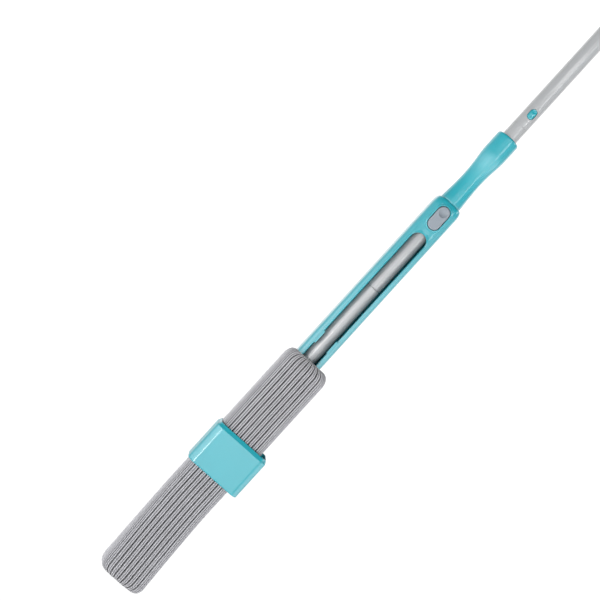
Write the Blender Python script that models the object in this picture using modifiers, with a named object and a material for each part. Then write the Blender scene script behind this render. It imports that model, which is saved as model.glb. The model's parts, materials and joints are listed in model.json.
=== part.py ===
"""Sponge mop with a sliding wringer.

A steel pole of three plugged sections hangs from the eye in its end cap. A carriage slides on it: a hand grip,
a slotted housing and a wringer ring that goes round the ribbed sponge pad at the pole's lower end.
The pole's axis is the world Z axis, the sponge faces -Y, and the world origin is the centre of the hanging eye.
Heights in the constants are measured upwards from the sponge's lower end, and those of the carriage from the
lower edge of its ring.
"""

import math

import bmesh
import bpy
from mathutils import Matrix

MM = 0.001

# Fits shared by all pieces
SEAT_GAP = 0.3 * MM
RUNNING_GAP = 0.3 * MM
SHOE_GAP = 0.3 * MM
WRINGING_GAP = 0.5 * MM
ROUND_STEPS = 36
SMALL_STEPS = 16
SCREW_STEPS = 12
CORNER_STEPS = 5
WELD_DISTANCE = 0.01 * MM
OVERCUT = 2.0 * MM

# Pole sections
POLE_RADIUS = 9.5 * MM
TUBE_WALL = 0.8 * MM
TUBE_EDGE = 0.3 * MM
SPIGOT_LENGTH = 38.0 * MM
SWAGE_LENGTH = 3.0 * MM
LOWER_TUBE_BOTTOM = 180.0 * MM
LOWER_JOINT_HEIGHT = 439.0 * MM
UPPER_JOINT_HEIGHT = 688.0 * MM
POLE_TOP_HEIGHT = 1204.0 * MM

# Lock button of the upper pole joint
LOCK_WIDTH = 8.2 * MM
LOCK_LENGTH = 13.2 * MM
LOCK_ABOVE_JOINT = 18.0 * MM
LOCK_HOLE_GAP = 0.35 * MM
LOCK_RECESS = 0.3 * MM
LOCK_TRAVEL = 3.0 * MM
LOCK_FLANGE_RIM = 1.2 * MM
LOCK_FLANGE_THICKNESS = 1.2 * MM
LOCK_THUMB_RADIUS = 5.0 * MM
LOCK_THUMB_DEPTH = 1.1 * MM
LOCK_SPRING_WIDTH = 6.0 * MM
LOCK_SPRING_THICKNESS = 0.5 * MM
LOCK_SPRING_DROP = 34.0 * MM

# Upper end: hand grip and hanging eye
TOP_GRIP_LENGTH = 105.0 * MM
TOP_GRIP_RADIUS = 15.0 * MM
TOP_GRIP_WAIST = 13.4 * MM
TOP_GRIP_ROUNDING = 2.5 * MM
CAP_PLUG_LENGTH = 30.0 * MM
CAP_FLANGE_RADIUS = 14.0 * MM
CAP_FLANGE_HEIGHT = 5.0 * MM
EYE_ABOVE_POLE = 26.0 * MM
EYE_RADIUS = 7.0 * MM
EYE_TAB_RADIUS = 12.5 * MM
EYE_TAB_THICKNESS = 9.0 * MM
EYE_TAB_ROUNDING = 1.5 * MM

# Head: fitting, bracket, carrier, backing and sponge, stacked forwards from the pole's axis
HINGE_HEIGHT = 166.0 * MM
HINGE_PIN_RADIUS = 2.4 * MM
HINGE_TONGUE_HALF = 4.7 * MM
HINGE_EYE_RADIUS = 5.5 * MM
END_FLANGE_HEIGHT = 4.0 * MM
END_PLUG_LENGTH = 24.0 * MM
BRACKET_EAR_THICKNESS = 2.5 * MM
BRACKET_BASE_THICKNESS = 2.0 * MM
BRACKET_BASE_BELOW = 30.0 * MM
BRACKET_BASE_ABOVE = 30.0 * MM
BRACKET_SCREW_INSET = 7.0 * MM
CARRIER_THICKNESS = 3.4 * MM
CARRIER_EDGE_INSET = 12.0 * MM
CARRIER_SIDE_INSET = 3.5 * MM
CARRIER_CORNER = 9.0 * MM
BACKING_THICKNESS = 1.8 * MM
BACKING_EDGE_INSET = 5.0 * MM
BACKING_SIDE_INSET = 2.0 * MM
PAD_LENGTH = 329.0 * MM
PAD_HALF_WIDTH = 29.0 * MM
PAD_THICKNESS = 26.0 * MM
PAD_DOME = 2.2 * MM
PAD_SIDE_ROUNDING = 7.5 * MM
PAD_END_ROUNDING = 9.0 * MM
PAD_CORNER_INSET = 7.0 * MM
PAD_GROOVE_PITCH = 5.75 * MM
PAD_GROOVES_EACH_SIDE = 4
PAD_GROOVE_DEPTH = 3.4 * MM
PAD_FINE_GROOVE_DEPTH = 1.1 * MM
PAD_GROOVE_HALF = 0.65 * MM
PAD_FINE_GROOVE_HALF = 0.45 * MM
PAD_SCREW_HALF_SPACING = 16.0 * MM
PAD_SCREW_END_INSET = 28.0 * MM

# Screws
SCREW_RADIUS = 1.0 * MM
SCREW_HEAD_RADIUS = 1.9 * MM
SCREW_HEAD_HEIGHT = 1.2 * MM
PAD_SCREW_RADIUS = 1.5 * MM
PAD_SCREW_HEAD_RADIUS = 2.9 * MM

# Carriage, measured from the ring's lower edge
CARRIAGE_HEIGHT = 160.0 * MM
RING_HEIGHT = 54.3 * MM
RING_WALL = 3.0 * MM
RING_BEVEL_HEIGHT = 4.4 * MM
RING_BEVEL_DEPTH = 2.4 * MM
RING_CORNER = 7.0 * MM
RING_EDGE = 0.8 * MM
RING_FREE_SIDE_GAP = 6.7 * MM
LINER_THICKNESS = 1.5 * MM
LINER_EDGE_INSET = 3.0 * MM
HOUSING_HALF_WIDTH = 17.35 * MM
HOUSING_HALF_DEPTH = 16.5 * MM
HOUSING_CORNER = 11.0 * MM
HOUSING_WALL = 2.5 * MM
HOUSING_LENGTH = 354.7 * MM
HOUSING_TOP_PLATE = 2.4 * MM
SHOULDER_STEPS = ((11.0, 0.0), (5.0, 0.5), (1.8, 1.4), (0.6, 2.3), (0.0, 3.6))
SLOT_HALF_WIDTH = 10.0 * MM
SLOT_BELOW_TOP = 47.6 * MM
SLOT_CHAMFER = 2.1 * MM
TAB_ABOVE_RING = 133.7 * MM
TAB_LENGTH = 17.0 * MM
TAB_REACH = 1.4 * MM
TAB_THICKNESS = 2.0 * MM
TENON_LENGTH = 18.0 * MM
BUSH_WALL = 1.7 * MM
BOSS_RADIUS = 2.8 * MM
BOSS_OFFSET = 12.7 * MM
BOSS_REACH = 10.2 * MM
LOWER_SCREW_ABOVE_RING = 45.7 * MM
UPPER_SCREW_BELOW_TOP = 13.0 * MM
RING_SCREW_OFFSET = 9.0 * MM
RING_SCREW_TIP = 9.7 * MM
RING_SCREW_SEAT = 14.6 * MM

# Carriage grip
GRIP_LENGTH = 100.0 * MM
GRIP_PROFILE = ((0.0, 12.6), (0.8, 13.7), (2.2, 14.3), (25.0, 14.3), (36.0, 13.4), (50.0, 11.9),
                (64.0, 11.6), (78.0, 12.1), (90.0, 13.0), (98.0, 13.5))
GRIP_NECK_RADIUS = 12.0 * MM
GRIP_FLANGE_RADIUS = 13.2 * MM
GRIP_FLANGE_HEIGHT = 1.6 * MM
GRIP_BUSH_LENGTH = 12.0 * MM
GRIP_BUSH_DEPTH = 1.8 * MM
GRIP_BUSH_RADIUS = 12.0 * MM

# Release button, a rocker on a pin
BUTTON_WIDTH = 15.3 * MM
BUTTON_LENGTH = 30.6 * MM
BUTTON_BELOW_TOP = 22.4 * MM
BUTTON_GAP = 0.7 * MM
BUTTON_PROUD = 1.4 * MM
BUTTON_EDGE = 0.9 * MM
BUTTON_DIMPLE_ABOVE = 8.4 * MM
BUTTON_DIMPLE_RADIUS = 5.7 * MM
BUTTON_DIMPLE_DEPTH = 1.4 * MM
BUTTON_FLANGE = 1.2 * MM
BUTTON_LIP = 1.7 * MM
BUTTON_LIP_PROUD = 0.5 * MM
BUTTON_PIVOT_BELOW = 4.6 * MM
BUTTON_PIVOT_DEPTH = 12.0 * MM
BUTTON_PIN_RADIUS = 1.2 * MM
BUTTON_EAR_HALF = 2.0 * MM
BUTTON_EAR_THICKNESS = 2.0 * MM
BUTTON_EAR_WALL = 0.8 * MM
PIN_RIB_INNER = 8.4 * MM
PIN_RIB_OUTER = 12.0 * MM
PIN_RIB_HALF_HEIGHT = 2.2 * MM
PIN_RIB_DEPTH = 9.9 * MM
SHOE_BELOW_PIVOT = 7.0 * MM
SHOE_HALF_WIDTH = 5.0 * MM
SHOE_HALF_HEIGHT = 3.2 * MM
SPRING_WIRE = 0.25 * MM
SPRING_COIL_RADIUS = 1.85 * MM
SPRING_LEFT = 4.9 * MM
SPRING_RIGHT = 7.3 * MM
SPRING_TURNS = 4
SPRING_POINTS = 10
SPRING_UPPER_LEG = 8.0 * MM
SPRING_LOWER_LEG = 10.0 * MM
SPRING_POCKET_RADIUS = 2.6 * MM

# Heights and depths that follow from the sizes above
EYE_HEIGHT = POLE_TOP_HEIGHT + EYE_ABOVE_POLE
BORE_RADIUS = POLE_RADIUS + RUNNING_GAP
SPIGOT_RADIUS = POLE_RADIUS - TUBE_WALL - SEAT_GAP
TUBE_BORE = POLE_RADIUS - TUBE_WALL
SPIGOT_BORE = SPIGOT_RADIUS - TUBE_WALL
CARRIER_BACK = HOUSING_HALF_DEPTH + WRINGING_GAP
CARRIER_FRONT = CARRIER_BACK + CARRIER_THICKNESS
BACKING_BACK = CARRIER_FRONT + SEAT_GAP
BACKING_FRONT = BACKING_BACK + BACKING_THICKNESS
PAD_BACK = BACKING_FRONT + SEAT_GAP
PAD_FRONT = PAD_BACK + PAD_THICKNESS
RING_CAVITY_BACK = CARRIER_BACK - WRINGING_GAP + SEAT_GAP / 2
RING_CAVITY_FRONT = PAD_FRONT + WRINGING_GAP + LINER_THICKNESS + SEAT_GAP
RING_CAVITY_LEFT = -(PAD_HALF_WIDTH + WRINGING_GAP)
RING_CAVITY_RIGHT = PAD_HALF_WIDTH + RING_FREE_SIDE_GAP
BRACKET_HALF_WIDTH = HINGE_TONGUE_HALF + SEAT_GAP + BRACKET_EAR_THICKNESS
HOUSING_BOTTOM = RING_HEIGHT + SEAT_GAP
HOUSING_TOP = RING_HEIGHT + HOUSING_LENGTH
SLOT_TOP = HOUSING_TOP - SLOT_BELOW_TOP
TAB_HEIGHT = RING_HEIGHT + TAB_ABOVE_RING
LOWER_SCREW_HEIGHT = RING_HEIGHT + LOWER_SCREW_ABOVE_RING
UPPER_SCREW_HEIGHT = HOUSING_TOP - UPPER_SCREW_BELOW_TOP
HOUSING_SCREW_HEIGHTS = (LOWER_SCREW_HEIGHT, (LOWER_SCREW_HEIGHT + UPPER_SCREW_HEIGHT) / 2,
                         UPPER_SCREW_HEIGHT)
BUTTON_CENTRE = HOUSING_TOP - BUTTON_BELOW_TOP
BUTTON_PIVOT = BUTTON_CENTRE - BUTTON_PIVOT_BELOW
GRIP_BOTTOM = HOUSING_TOP + SEAT_GAP
GRIP_TOP = GRIP_BOTTOM + GRIP_LENGTH
LOCK_HEIGHT = UPPER_JOINT_HEIGHT + LOCK_ABOVE_JOINT

TURQUOISE = ("turquoise_plastic", (0.18, 0.56, 0.58), 0.35, 0.0)
STEEL = ("painted_steel", (0.48, 0.51, 0.53), 0.32, 0.75)
BRIGHT_STEEL = ("bright_steel", (0.62, 0.63, 0.65), 0.25, 1.0)
GREY_PLASTIC = ("grey_plastic", (0.36, 0.40, 0.43), 0.4, 0.0)
PALE_PLASTIC = ("pale_plastic", (0.72, 0.75, 0.76), 0.4, 0.0)
DARK_RUBBER = ("dark_rubber", (0.05, 0.055, 0.06), 0.7, 0.0)
SPONGE_GREY = ("sponge_grey", (0.46, 0.46, 0.48), 0.9, 0.0)


def clear_scene():
    """Remove every object that the file holds."""
    for item in list(bpy.data.objects):
        bpy.data.objects.remove(item, do_unlink=True)


def new_collection(name):
    """Make a collection under the scene's own."""
    group = bpy.data.collections.new(name)
    bpy.context.scene.collection.children.link(group)
    return group


clear_scene()
PARTS = new_collection("sponge_mop")
CUTTERS = new_collection("cutters")


def finish_material(spec):
    """Return the material of a finish, made once."""
    name, colour, roughness, metallic = spec
    found = bpy.data.materials.get(name)
    if found:
        return found
    made = bpy.data.materials.new(name)
    made.use_nodes = True
    shader = made.node_tree.nodes["Principled BSDF"]
    shader.inputs["Base Color"].default_value = (*colour, 1.0)
    shader.inputs["Roughness"].default_value = roughness
    shader.inputs["Metallic"].default_value = metallic
    return made


def frame(name, height, depth=0.0, parent=None):
    """An empty that carries pieces; it lies on the pole's axis unless a depth moves it."""
    empty = bpy.data.objects.new(name, None)
    PARTS.objects.link(empty)
    empty.parent = parent
    empty.location = (0.0, depth, height)
    return empty


def piece(name, mesh, finish, parent, location=(0.0, 0.0, 0.0)):
    """A part of the mop: an object with its material, placed in its frame."""
    item = bpy.data.objects.new(name, mesh)
    PARTS.objects.link(item)
    mesh.materials.clear()
    mesh.materials.append(finish_material(finish))
    item.parent = parent
    item.location = location
    return item


def cutter(name, mesh, parent, location=(0.0, 0.0, 0.0)):
    """A hidden tool for a Boolean, placed in the same frame as the piece it works on."""
    item = bpy.data.objects.new(name, mesh)
    CUTTERS.objects.link(item)
    item.parent = parent
    item.location = location
    item.hide_render = True
    item.display_type = "WIRE"
    return item


def combine(item, tool, operation="DIFFERENCE"):
    """Cut, join or intersect a piece with a tool."""
    step = item.modifiers.new(f"{operation.lower()}_{tool.name}", "BOOLEAN")
    step.operation = operation
    step.object = tool
    step.solver = "EXACT"


def cut_all(item, tools):
    """Cut a piece with several tools."""
    for tool in tools:
        combine(item, tool)


def arc(centre_x, centre_y, radius, start, end, steps):
    """Points on an arc, both ends included, angles in degrees."""
    points = []
    for step in range(steps + 1):
        angle = math.radians(start + (end - start) * step / steps)
        points.append((centre_x + radius * math.cos(angle), centre_y + radius * math.sin(angle)))
    return points


def rounded_outline(left, right, low, high, corner):
    """A rectangle with round corners, counter-clockwise."""
    points = []
    corners = ((right, high, 0.0), (left, high, 90.0), (left, low, 180.0), (right, low, 270.0))
    for x, y, start in corners:
        centre_x = x - corner if x == right else x + corner
        centre_y = y - corner if y == high else y + corner
        points += arc(centre_x, centre_y, corner, start, start + 90.0, CORNER_STEPS)
    return points


def stadium(width, length):
    """A slot outline that is longer in its second direction."""
    radius = width / 2
    straight = length / 2 - radius
    steps = CORNER_STEPS * 2
    return arc(0.0, straight, radius, 0.0, 180.0, steps) + arc(0.0, -straight, radius, 180.0, 360.0, steps)


def shaded(mesh):
    """Shade round faces smooth and keep real edges sharp."""
    mesh.shade_smooth()
    mesh.set_sharp_from_angle(angle=math.radians(32.0))
    return mesh


def curve_mesh(name, curve):
    """The closed mesh of a curve, which is then removed."""
    holder = bpy.data.objects.new(name, curve)
    bpy.context.scene.collection.objects.link(holder)
    evaluated = holder.evaluated_get(bpy.context.evaluated_depsgraph_get())
    mesh = bpy.data.meshes.new_from_object(evaluated)
    bpy.data.objects.remove(holder, do_unlink=True)
    bpy.data.curves.remove(curve)
    return welded(mesh)


def extruded(name, points, low, high):
    """A flat outline made solid between two heights, from a filled curve."""
    curve = bpy.data.curves.new(name, "CURVE")
    curve.dimensions = "2D"
    curve.fill_mode = "BOTH"
    curve.extrude = (high - low) / 2
    line = curve.splines.new("POLY")
    line.points.add(len(points) - 1)
    for point, (x, y) in zip(line.points, points):
        point.co = (x, y, 0.0, 1.0)
    line.use_cyclic_u = True
    mesh = curve_mesh(name, curve)
    mesh.transform(Matrix.Translation((0.0, 0.0, (low + high) / 2)))
    return mesh


def welded(mesh):
    """Close the seams of a mesh and point its faces outwards."""
    work = bmesh.new()
    work.from_mesh(mesh)
    bmesh.ops.remove_doubles(work, verts=work.verts, dist=WELD_DISTANCE)
    bmesh.ops.recalc_face_normals(work, faces=work.faces)
    work.to_mesh(mesh)
    work.free()
    return shaded(mesh)


def facing_front(mesh):
    """Stand a mesh up: its second direction becomes height, and its height points to the front."""
    mesh.transform(Matrix.Rotation(math.radians(90.0), 4, "X"))
    return mesh


def facing_side(mesh):
    """Stand a mesh on its side: its first direction becomes depth, its second height, its height width."""
    turn = Matrix(((0.0, 0.0, 1.0, 0.0), (1.0, 0.0, 0.0, 0.0), (0.0, 1.0, 0.0, 0.0), (0.0, 0.0, 0.0, 1.0)))
    mesh.transform(turn)
    return mesh


def wire(name, points, radius):
    """A round wire through points, as a closed mesh."""
    curve = bpy.data.curves.new(name, "CURVE")
    curve.dimensions = "3D"
    curve.bevel_depth = radius
    curve.bevel_resolution = 2
    curve.use_fill_caps = True
    line = curve.splines.new("POLY")
    line.points.add(len(points) - 1)
    for point, place in zip(line.points, points):
        point.co = (*place, 1.0)
    return curve_mesh(name, curve)


def front_plate(name, points, back, front):
    """An outline in width and height made solid between two distances in front of the pole's axis."""
    return facing_front(extruded(name, points, back, front))


def lofted(name, sections):
    """A closed solid through outlines of equal count, each with its own height."""
    work = bmesh.new()
    rings = []
    for points, height in sections:
        rings.append([work.verts.new((x, y, height)) for x, y in points])
    for lower, upper in zip(rings, rings[1:]):
        for index in range(len(lower)):
            after = (index + 1) % len(lower)
            work.faces.new((lower[index], lower[after], upper[after], upper[index]))
    work.faces.new(list(reversed(rings[0])))
    work.faces.new(rings[-1])
    mesh = bpy.data.meshes.new(name)
    work.to_mesh(mesh)
    work.free()
    return shaded(mesh)


def turned(name, profile, steps=ROUND_STEPS, closed=True):
    """A turned mesh: a profile of radius and height, top to bottom on its outer side, with a Screw."""
    work = bmesh.new()
    verts = [work.verts.new((radius, 0.0, height)) for radius, height in profile]
    for first, second in zip(verts, verts[1:]):
        work.edges.new((first, second))
    if closed:
        work.edges.new((verts[-1], verts[0]))
    mesh = bpy.data.meshes.new(name)
    work.to_mesh(mesh)
    work.free()
    holder = bpy.data.objects.new(name, mesh)
    bpy.context.scene.collection.objects.link(holder)
    screw = holder.modifiers.new("turn", "SCREW")
    screw.steps = steps
    screw.render_steps = steps
    screw.use_merge_vertices = True
    screw.merge_threshold = WELD_DISTANCE
    evaluated = holder.evaluated_get(bpy.context.evaluated_depsgraph_get())
    result = bpy.data.meshes.new_from_object(evaluated)
    bpy.data.objects.remove(holder, do_unlink=True)
    bpy.data.meshes.remove(mesh)
    return shaded(result)


def tube(name, outer, inner, low, high, steps=ROUND_STEPS):
    """A plain tube between two heights."""
    return turned(name, [(outer, high), (outer, low), (inner, low), (inner, high)], steps)


def rod(name, radius, low, high, steps=ROUND_STEPS):
    """A cylinder between two heights."""
    work = bmesh.new()
    bmesh.ops.create_cone(work, cap_ends=True, segments=steps, radius1=radius, radius2=radius, depth=high - low)
    bmesh.ops.translate(work, verts=work.verts, vec=(0.0, 0.0, (low + high) / 2))
    mesh = bpy.data.meshes.new(name)
    work.to_mesh(mesh)
    work.free()
    return shaded(mesh)


def block(name, left, right, back, front, low, high):
    """A box between named limits; back and front are world Y values, back the larger."""
    work = bmesh.new()
    bmesh.ops.create_cube(work, size=1.0)
    size = Matrix.Diagonal((right - left, back - front, high - low, 1.0))
    place = Matrix.Translation(((left + right) / 2, (back + front) / 2, (low + high) / 2))
    bmesh.ops.transform(work, matrix=place @ size, verts=work.verts)
    mesh = bpy.data.meshes.new(name)
    work.to_mesh(mesh)
    work.free()
    return mesh


def front_screws(name, places, depths, radii, finish, parent):
    """Screws that lie front to back, their heads behind: seat and tip depths (world Y), shank and head radii."""
    seat, tip = depths
    radius, head_radius = radii
    head_top = seat + SCREW_HEAD_HEIGHT
    profile = [(0.0, head_top), (head_radius, head_top), (head_radius, seat), (radius, seat), (radius, tip),
               (0.0, tip)]
    mesh = turned(name, profile, SCREW_STEPS, closed=False)
    mesh.transform(Matrix.Rotation(math.radians(-90.0), 4, "X"))
    for number, (x, height) in enumerate(places, 1):
        piece(f"{name}_{number}", mesh, finish, parent, (x, 0.0, height))


def front_holes(name, places, near, far, radius, parent, steps=SCREW_STEPS):
    """One cutter that drills round holes front to back between two depths (world Y)."""
    work = bmesh.new()
    drill = rod(name, radius, near, far, steps)
    drill.transform(Matrix.Rotation(math.radians(-90.0), 4, "X"))
    for x, height in places:
        copy = drill.copy()
        copy.transform(Matrix.Translation((x, 0.0, height)))
        work.from_mesh(copy)
        bpy.data.meshes.remove(copy)
    bpy.data.meshes.remove(drill)
    mesh = bpy.data.meshes.new(name)
    work.to_mesh(mesh)
    work.free()
    return cutter(name, mesh, parent)


def section_profile(low, high):
    """Profile of a tube section whose upper end is drawn down to a spigot."""
    shoulder = high - SEAT_GAP
    inner_start = shoulder - SWAGE_LENGTH
    return [(SPIGOT_RADIUS, high + SPIGOT_LENGTH), (SPIGOT_RADIUS, shoulder), (POLE_RADIUS - TUBE_EDGE, shoulder),
            (POLE_RADIUS, shoulder - TUBE_EDGE), (POLE_RADIUS, low + TUBE_EDGE), (POLE_RADIUS - TUBE_EDGE, low),
            (TUBE_BORE, low), (TUBE_BORE, inner_start), (SPIGOT_BORE, shoulder),
            (SPIGOT_BORE, high + SPIGOT_LENGTH)]


def build_pole(base):
    """The three tube sections, plugged into each other."""
    lower = turned("lower_pole_tube", section_profile(LOWER_TUBE_BOTTOM, LOWER_JOINT_HEIGHT))
    piece("lower_pole_tube", lower, STEEL, base)
    middle_mesh = turned("middle_pole_tube", section_profile(LOWER_JOINT_HEIGHT, UPPER_JOINT_HEIGHT))
    middle = piece("middle_pole_tube", middle_mesh, STEEL, base)
    profile = [(POLE_RADIUS - TUBE_EDGE, POLE_TOP_HEIGHT), (POLE_RADIUS, POLE_TOP_HEIGHT - TUBE_EDGE),
               (POLE_RADIUS, UPPER_JOINT_HEIGHT + TUBE_EDGE), (POLE_RADIUS - TUBE_EDGE, UPPER_JOINT_HEIGHT),
               (TUBE_BORE, UPPER_JOINT_HEIGHT), (TUBE_BORE, POLE_TOP_HEIGHT)]
    upper = piece("upper_pole_tube", turned("upper_pole_tube", profile), STEEL, base)
    hole = stadium(LOCK_WIDTH + 2 * LOCK_HOLE_GAP, LOCK_LENGTH + 2 * LOCK_HOLE_GAP)
    window = front_plate("lock_window", hole, SPIGOT_BORE / 2, POLE_RADIUS + OVERCUT)
    opening = cutter("lock_window", window, base, (0.0, 0.0, LOCK_HEIGHT))
    combine(middle, opening)
    combine(upper, opening)


def build_pole_lock(base):
    """The sprung button that holds the upper section, and its leaf spring."""
    carrier = frame("pole_lock_frame", LOCK_HEIGHT, 0.0, base)
    flange_front = math.sqrt(SPIGOT_BORE ** 2 - (LOCK_WIDTH / 2 + LOCK_FLANGE_RIM) ** 2) - SEAT_GAP
    flange_back = flange_front - LOCK_FLANGE_THICKNESS
    stem = front_plate("pole_lock_button", stadium(LOCK_WIDTH, LOCK_LENGTH), flange_back, POLE_RADIUS)
    button = piece("pole_lock_button", stem, TURQUOISE, carrier)
    round_top = rod("lock_round_top", POLE_RADIUS - LOCK_RECESS, -LOCK_LENGTH, LOCK_LENGTH)
    combine(button, cutter("lock_round_top", round_top, carrier), "INTERSECT")
    thumb = rod("lock_thumb", LOCK_THUMB_RADIUS, -LOCK_WIDTH, LOCK_WIDTH, SMALL_STEPS)
    thumb.transform(Matrix.Rotation(math.radians(90.0), 4, "Y"))
    depth = -(POLE_RADIUS - LOCK_RECESS + LOCK_THUMB_RADIUS - LOCK_THUMB_DEPTH)
    place = (0.0, depth, LOCK_LENGTH / 2 - LOCK_FLANGE_RIM)
    combine(button, cutter("lock_thumb", thumb, carrier, place))
    outline = stadium(LOCK_WIDTH + 2 * LOCK_FLANGE_RIM, LOCK_LENGTH + 2 * LOCK_FLANGE_RIM)
    flange = front_plate("lock_flange", outline, flange_back, flange_front)
    combine(button, cutter("lock_flange", flange, carrier), "UNION")

    front_leg = -(flange_back - SEAT_GAP - LOCK_SPRING_THICKNESS / 2)
    wall = math.sqrt(SPIGOT_BORE ** 2 - (LOCK_SPRING_WIDTH / 2) ** 2)
    back_leg = wall - SEAT_GAP - LOCK_SPRING_THICKNESS / 2
    reach = LOCK_LENGTH / 2
    middle = (front_leg + back_leg) / 2
    quarter = (back_leg - front_leg) / 4
    path = [(front_leg, reach), (front_leg, -reach), (middle - quarter, reach - LOCK_SPRING_DROP),
            (middle, -LOCK_SPRING_DROP), (middle + quarter, reach - LOCK_SPRING_DROP), (back_leg, -reach),
            (back_leg, reach)]
    work = bmesh.new()
    verts = [work.verts.new((-LOCK_SPRING_WIDTH / 2, y, z)) for y, z in path]
    edges = [work.edges.new(pair) for pair in zip(verts, verts[1:])]
    spread = bmesh.ops.extrude_edge_only(work, edges=edges)
    moved = [item for item in spread["geom"] if isinstance(item, bmesh.types.BMVert)]
    bmesh.ops.translate(work, verts=moved, vec=(LOCK_SPRING_WIDTH, 0.0, 0.0))
    mesh = bpy.data.meshes.new("pole_lock_spring")
    work.to_mesh(mesh)
    work.free()
    spring = piece("pole_lock_spring", mesh, BRIGHT_STEEL, base, (0.0, 0.0, LOCK_HEIGHT))
    sheet = spring.modifiers.new("thickness", "SOLIDIFY")
    sheet.thickness = LOCK_SPRING_THICKNESS
    sheet.offset = 0.0
    sheet.use_even_offset = True


def build_pole_top(base):
    """The end grip and the cap with the hanging eye."""
    low = POLE_TOP_HEIGHT - TOP_GRIP_LENGTH
    bore = POLE_RADIUS + SEAT_GAP
    top = POLE_TOP_HEIGHT - SEAT_GAP
    middle = (low + top) / 2
    edge = TOP_GRIP_ROUNDING
    profile = [(TOP_GRIP_RADIUS - edge, top), (TOP_GRIP_RADIUS, top - edge),
               (TOP_GRIP_WAIST, (middle + top) / 2), (TOP_GRIP_WAIST, (middle + low) / 2),
               (TOP_GRIP_RADIUS, low + edge), (TOP_GRIP_RADIUS - edge, low), (bore, low), (bore, top)]
    piece("top_grip", turned("top_grip", profile), TURQUOISE, base)

    flange_top = POLE_TOP_HEIGHT + SEAT_GAP + CAP_FLANGE_HEIGHT
    plug = TUBE_BORE - SEAT_GAP
    profile = [(0.0, flange_top), (EYE_TAB_RADIUS, flange_top), (CAP_FLANGE_RADIUS, flange_top - EYE_TAB_ROUNDING),
               (CAP_FLANGE_RADIUS, POLE_TOP_HEIGHT + SEAT_GAP), (plug, POLE_TOP_HEIGHT + SEAT_GAP),
               (plug, POLE_TOP_HEIGHT - CAP_PLUG_LENGTH), (0.0, POLE_TOP_HEIGHT - CAP_PLUG_LENGTH)]
    cap = piece("hanger_cap", turned("hanger_cap", profile, closed=False), TURQUOISE, base)
    foot = POLE_TOP_HEIGHT + SEAT_GAP + CAP_FLANGE_HEIGHT / 2 - EYE_HEIGHT
    outline = arc(0.0, 0.0, EYE_TAB_RADIUS, 0.0, 180.0, CORNER_STEPS * 3)
    outline += [(-EYE_TAB_RADIUS, foot), (EYE_TAB_RADIUS, foot)]
    half = EYE_TAB_THICKNESS / 2
    tab = cutter("eye_tab", front_plate("eye_tab", outline, -half, half), base, (0.0, 0.0, EYE_HEIGHT))
    rounding = tab.modifiers.new("rounding", "BEVEL")
    rounding.width = EYE_TAB_ROUNDING
    rounding.segments = 2
    rounding.angle_limit = math.radians(40.0)
    combine(cap, tab, "UNION")
    combine(cap, front_holes("eye_hole", [(0.0, EYE_HEIGHT)], -EYE_TAB_THICKNESS, EYE_TAB_THICKNESS, EYE_RADIUS,
                             base, ROUND_STEPS))


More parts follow.
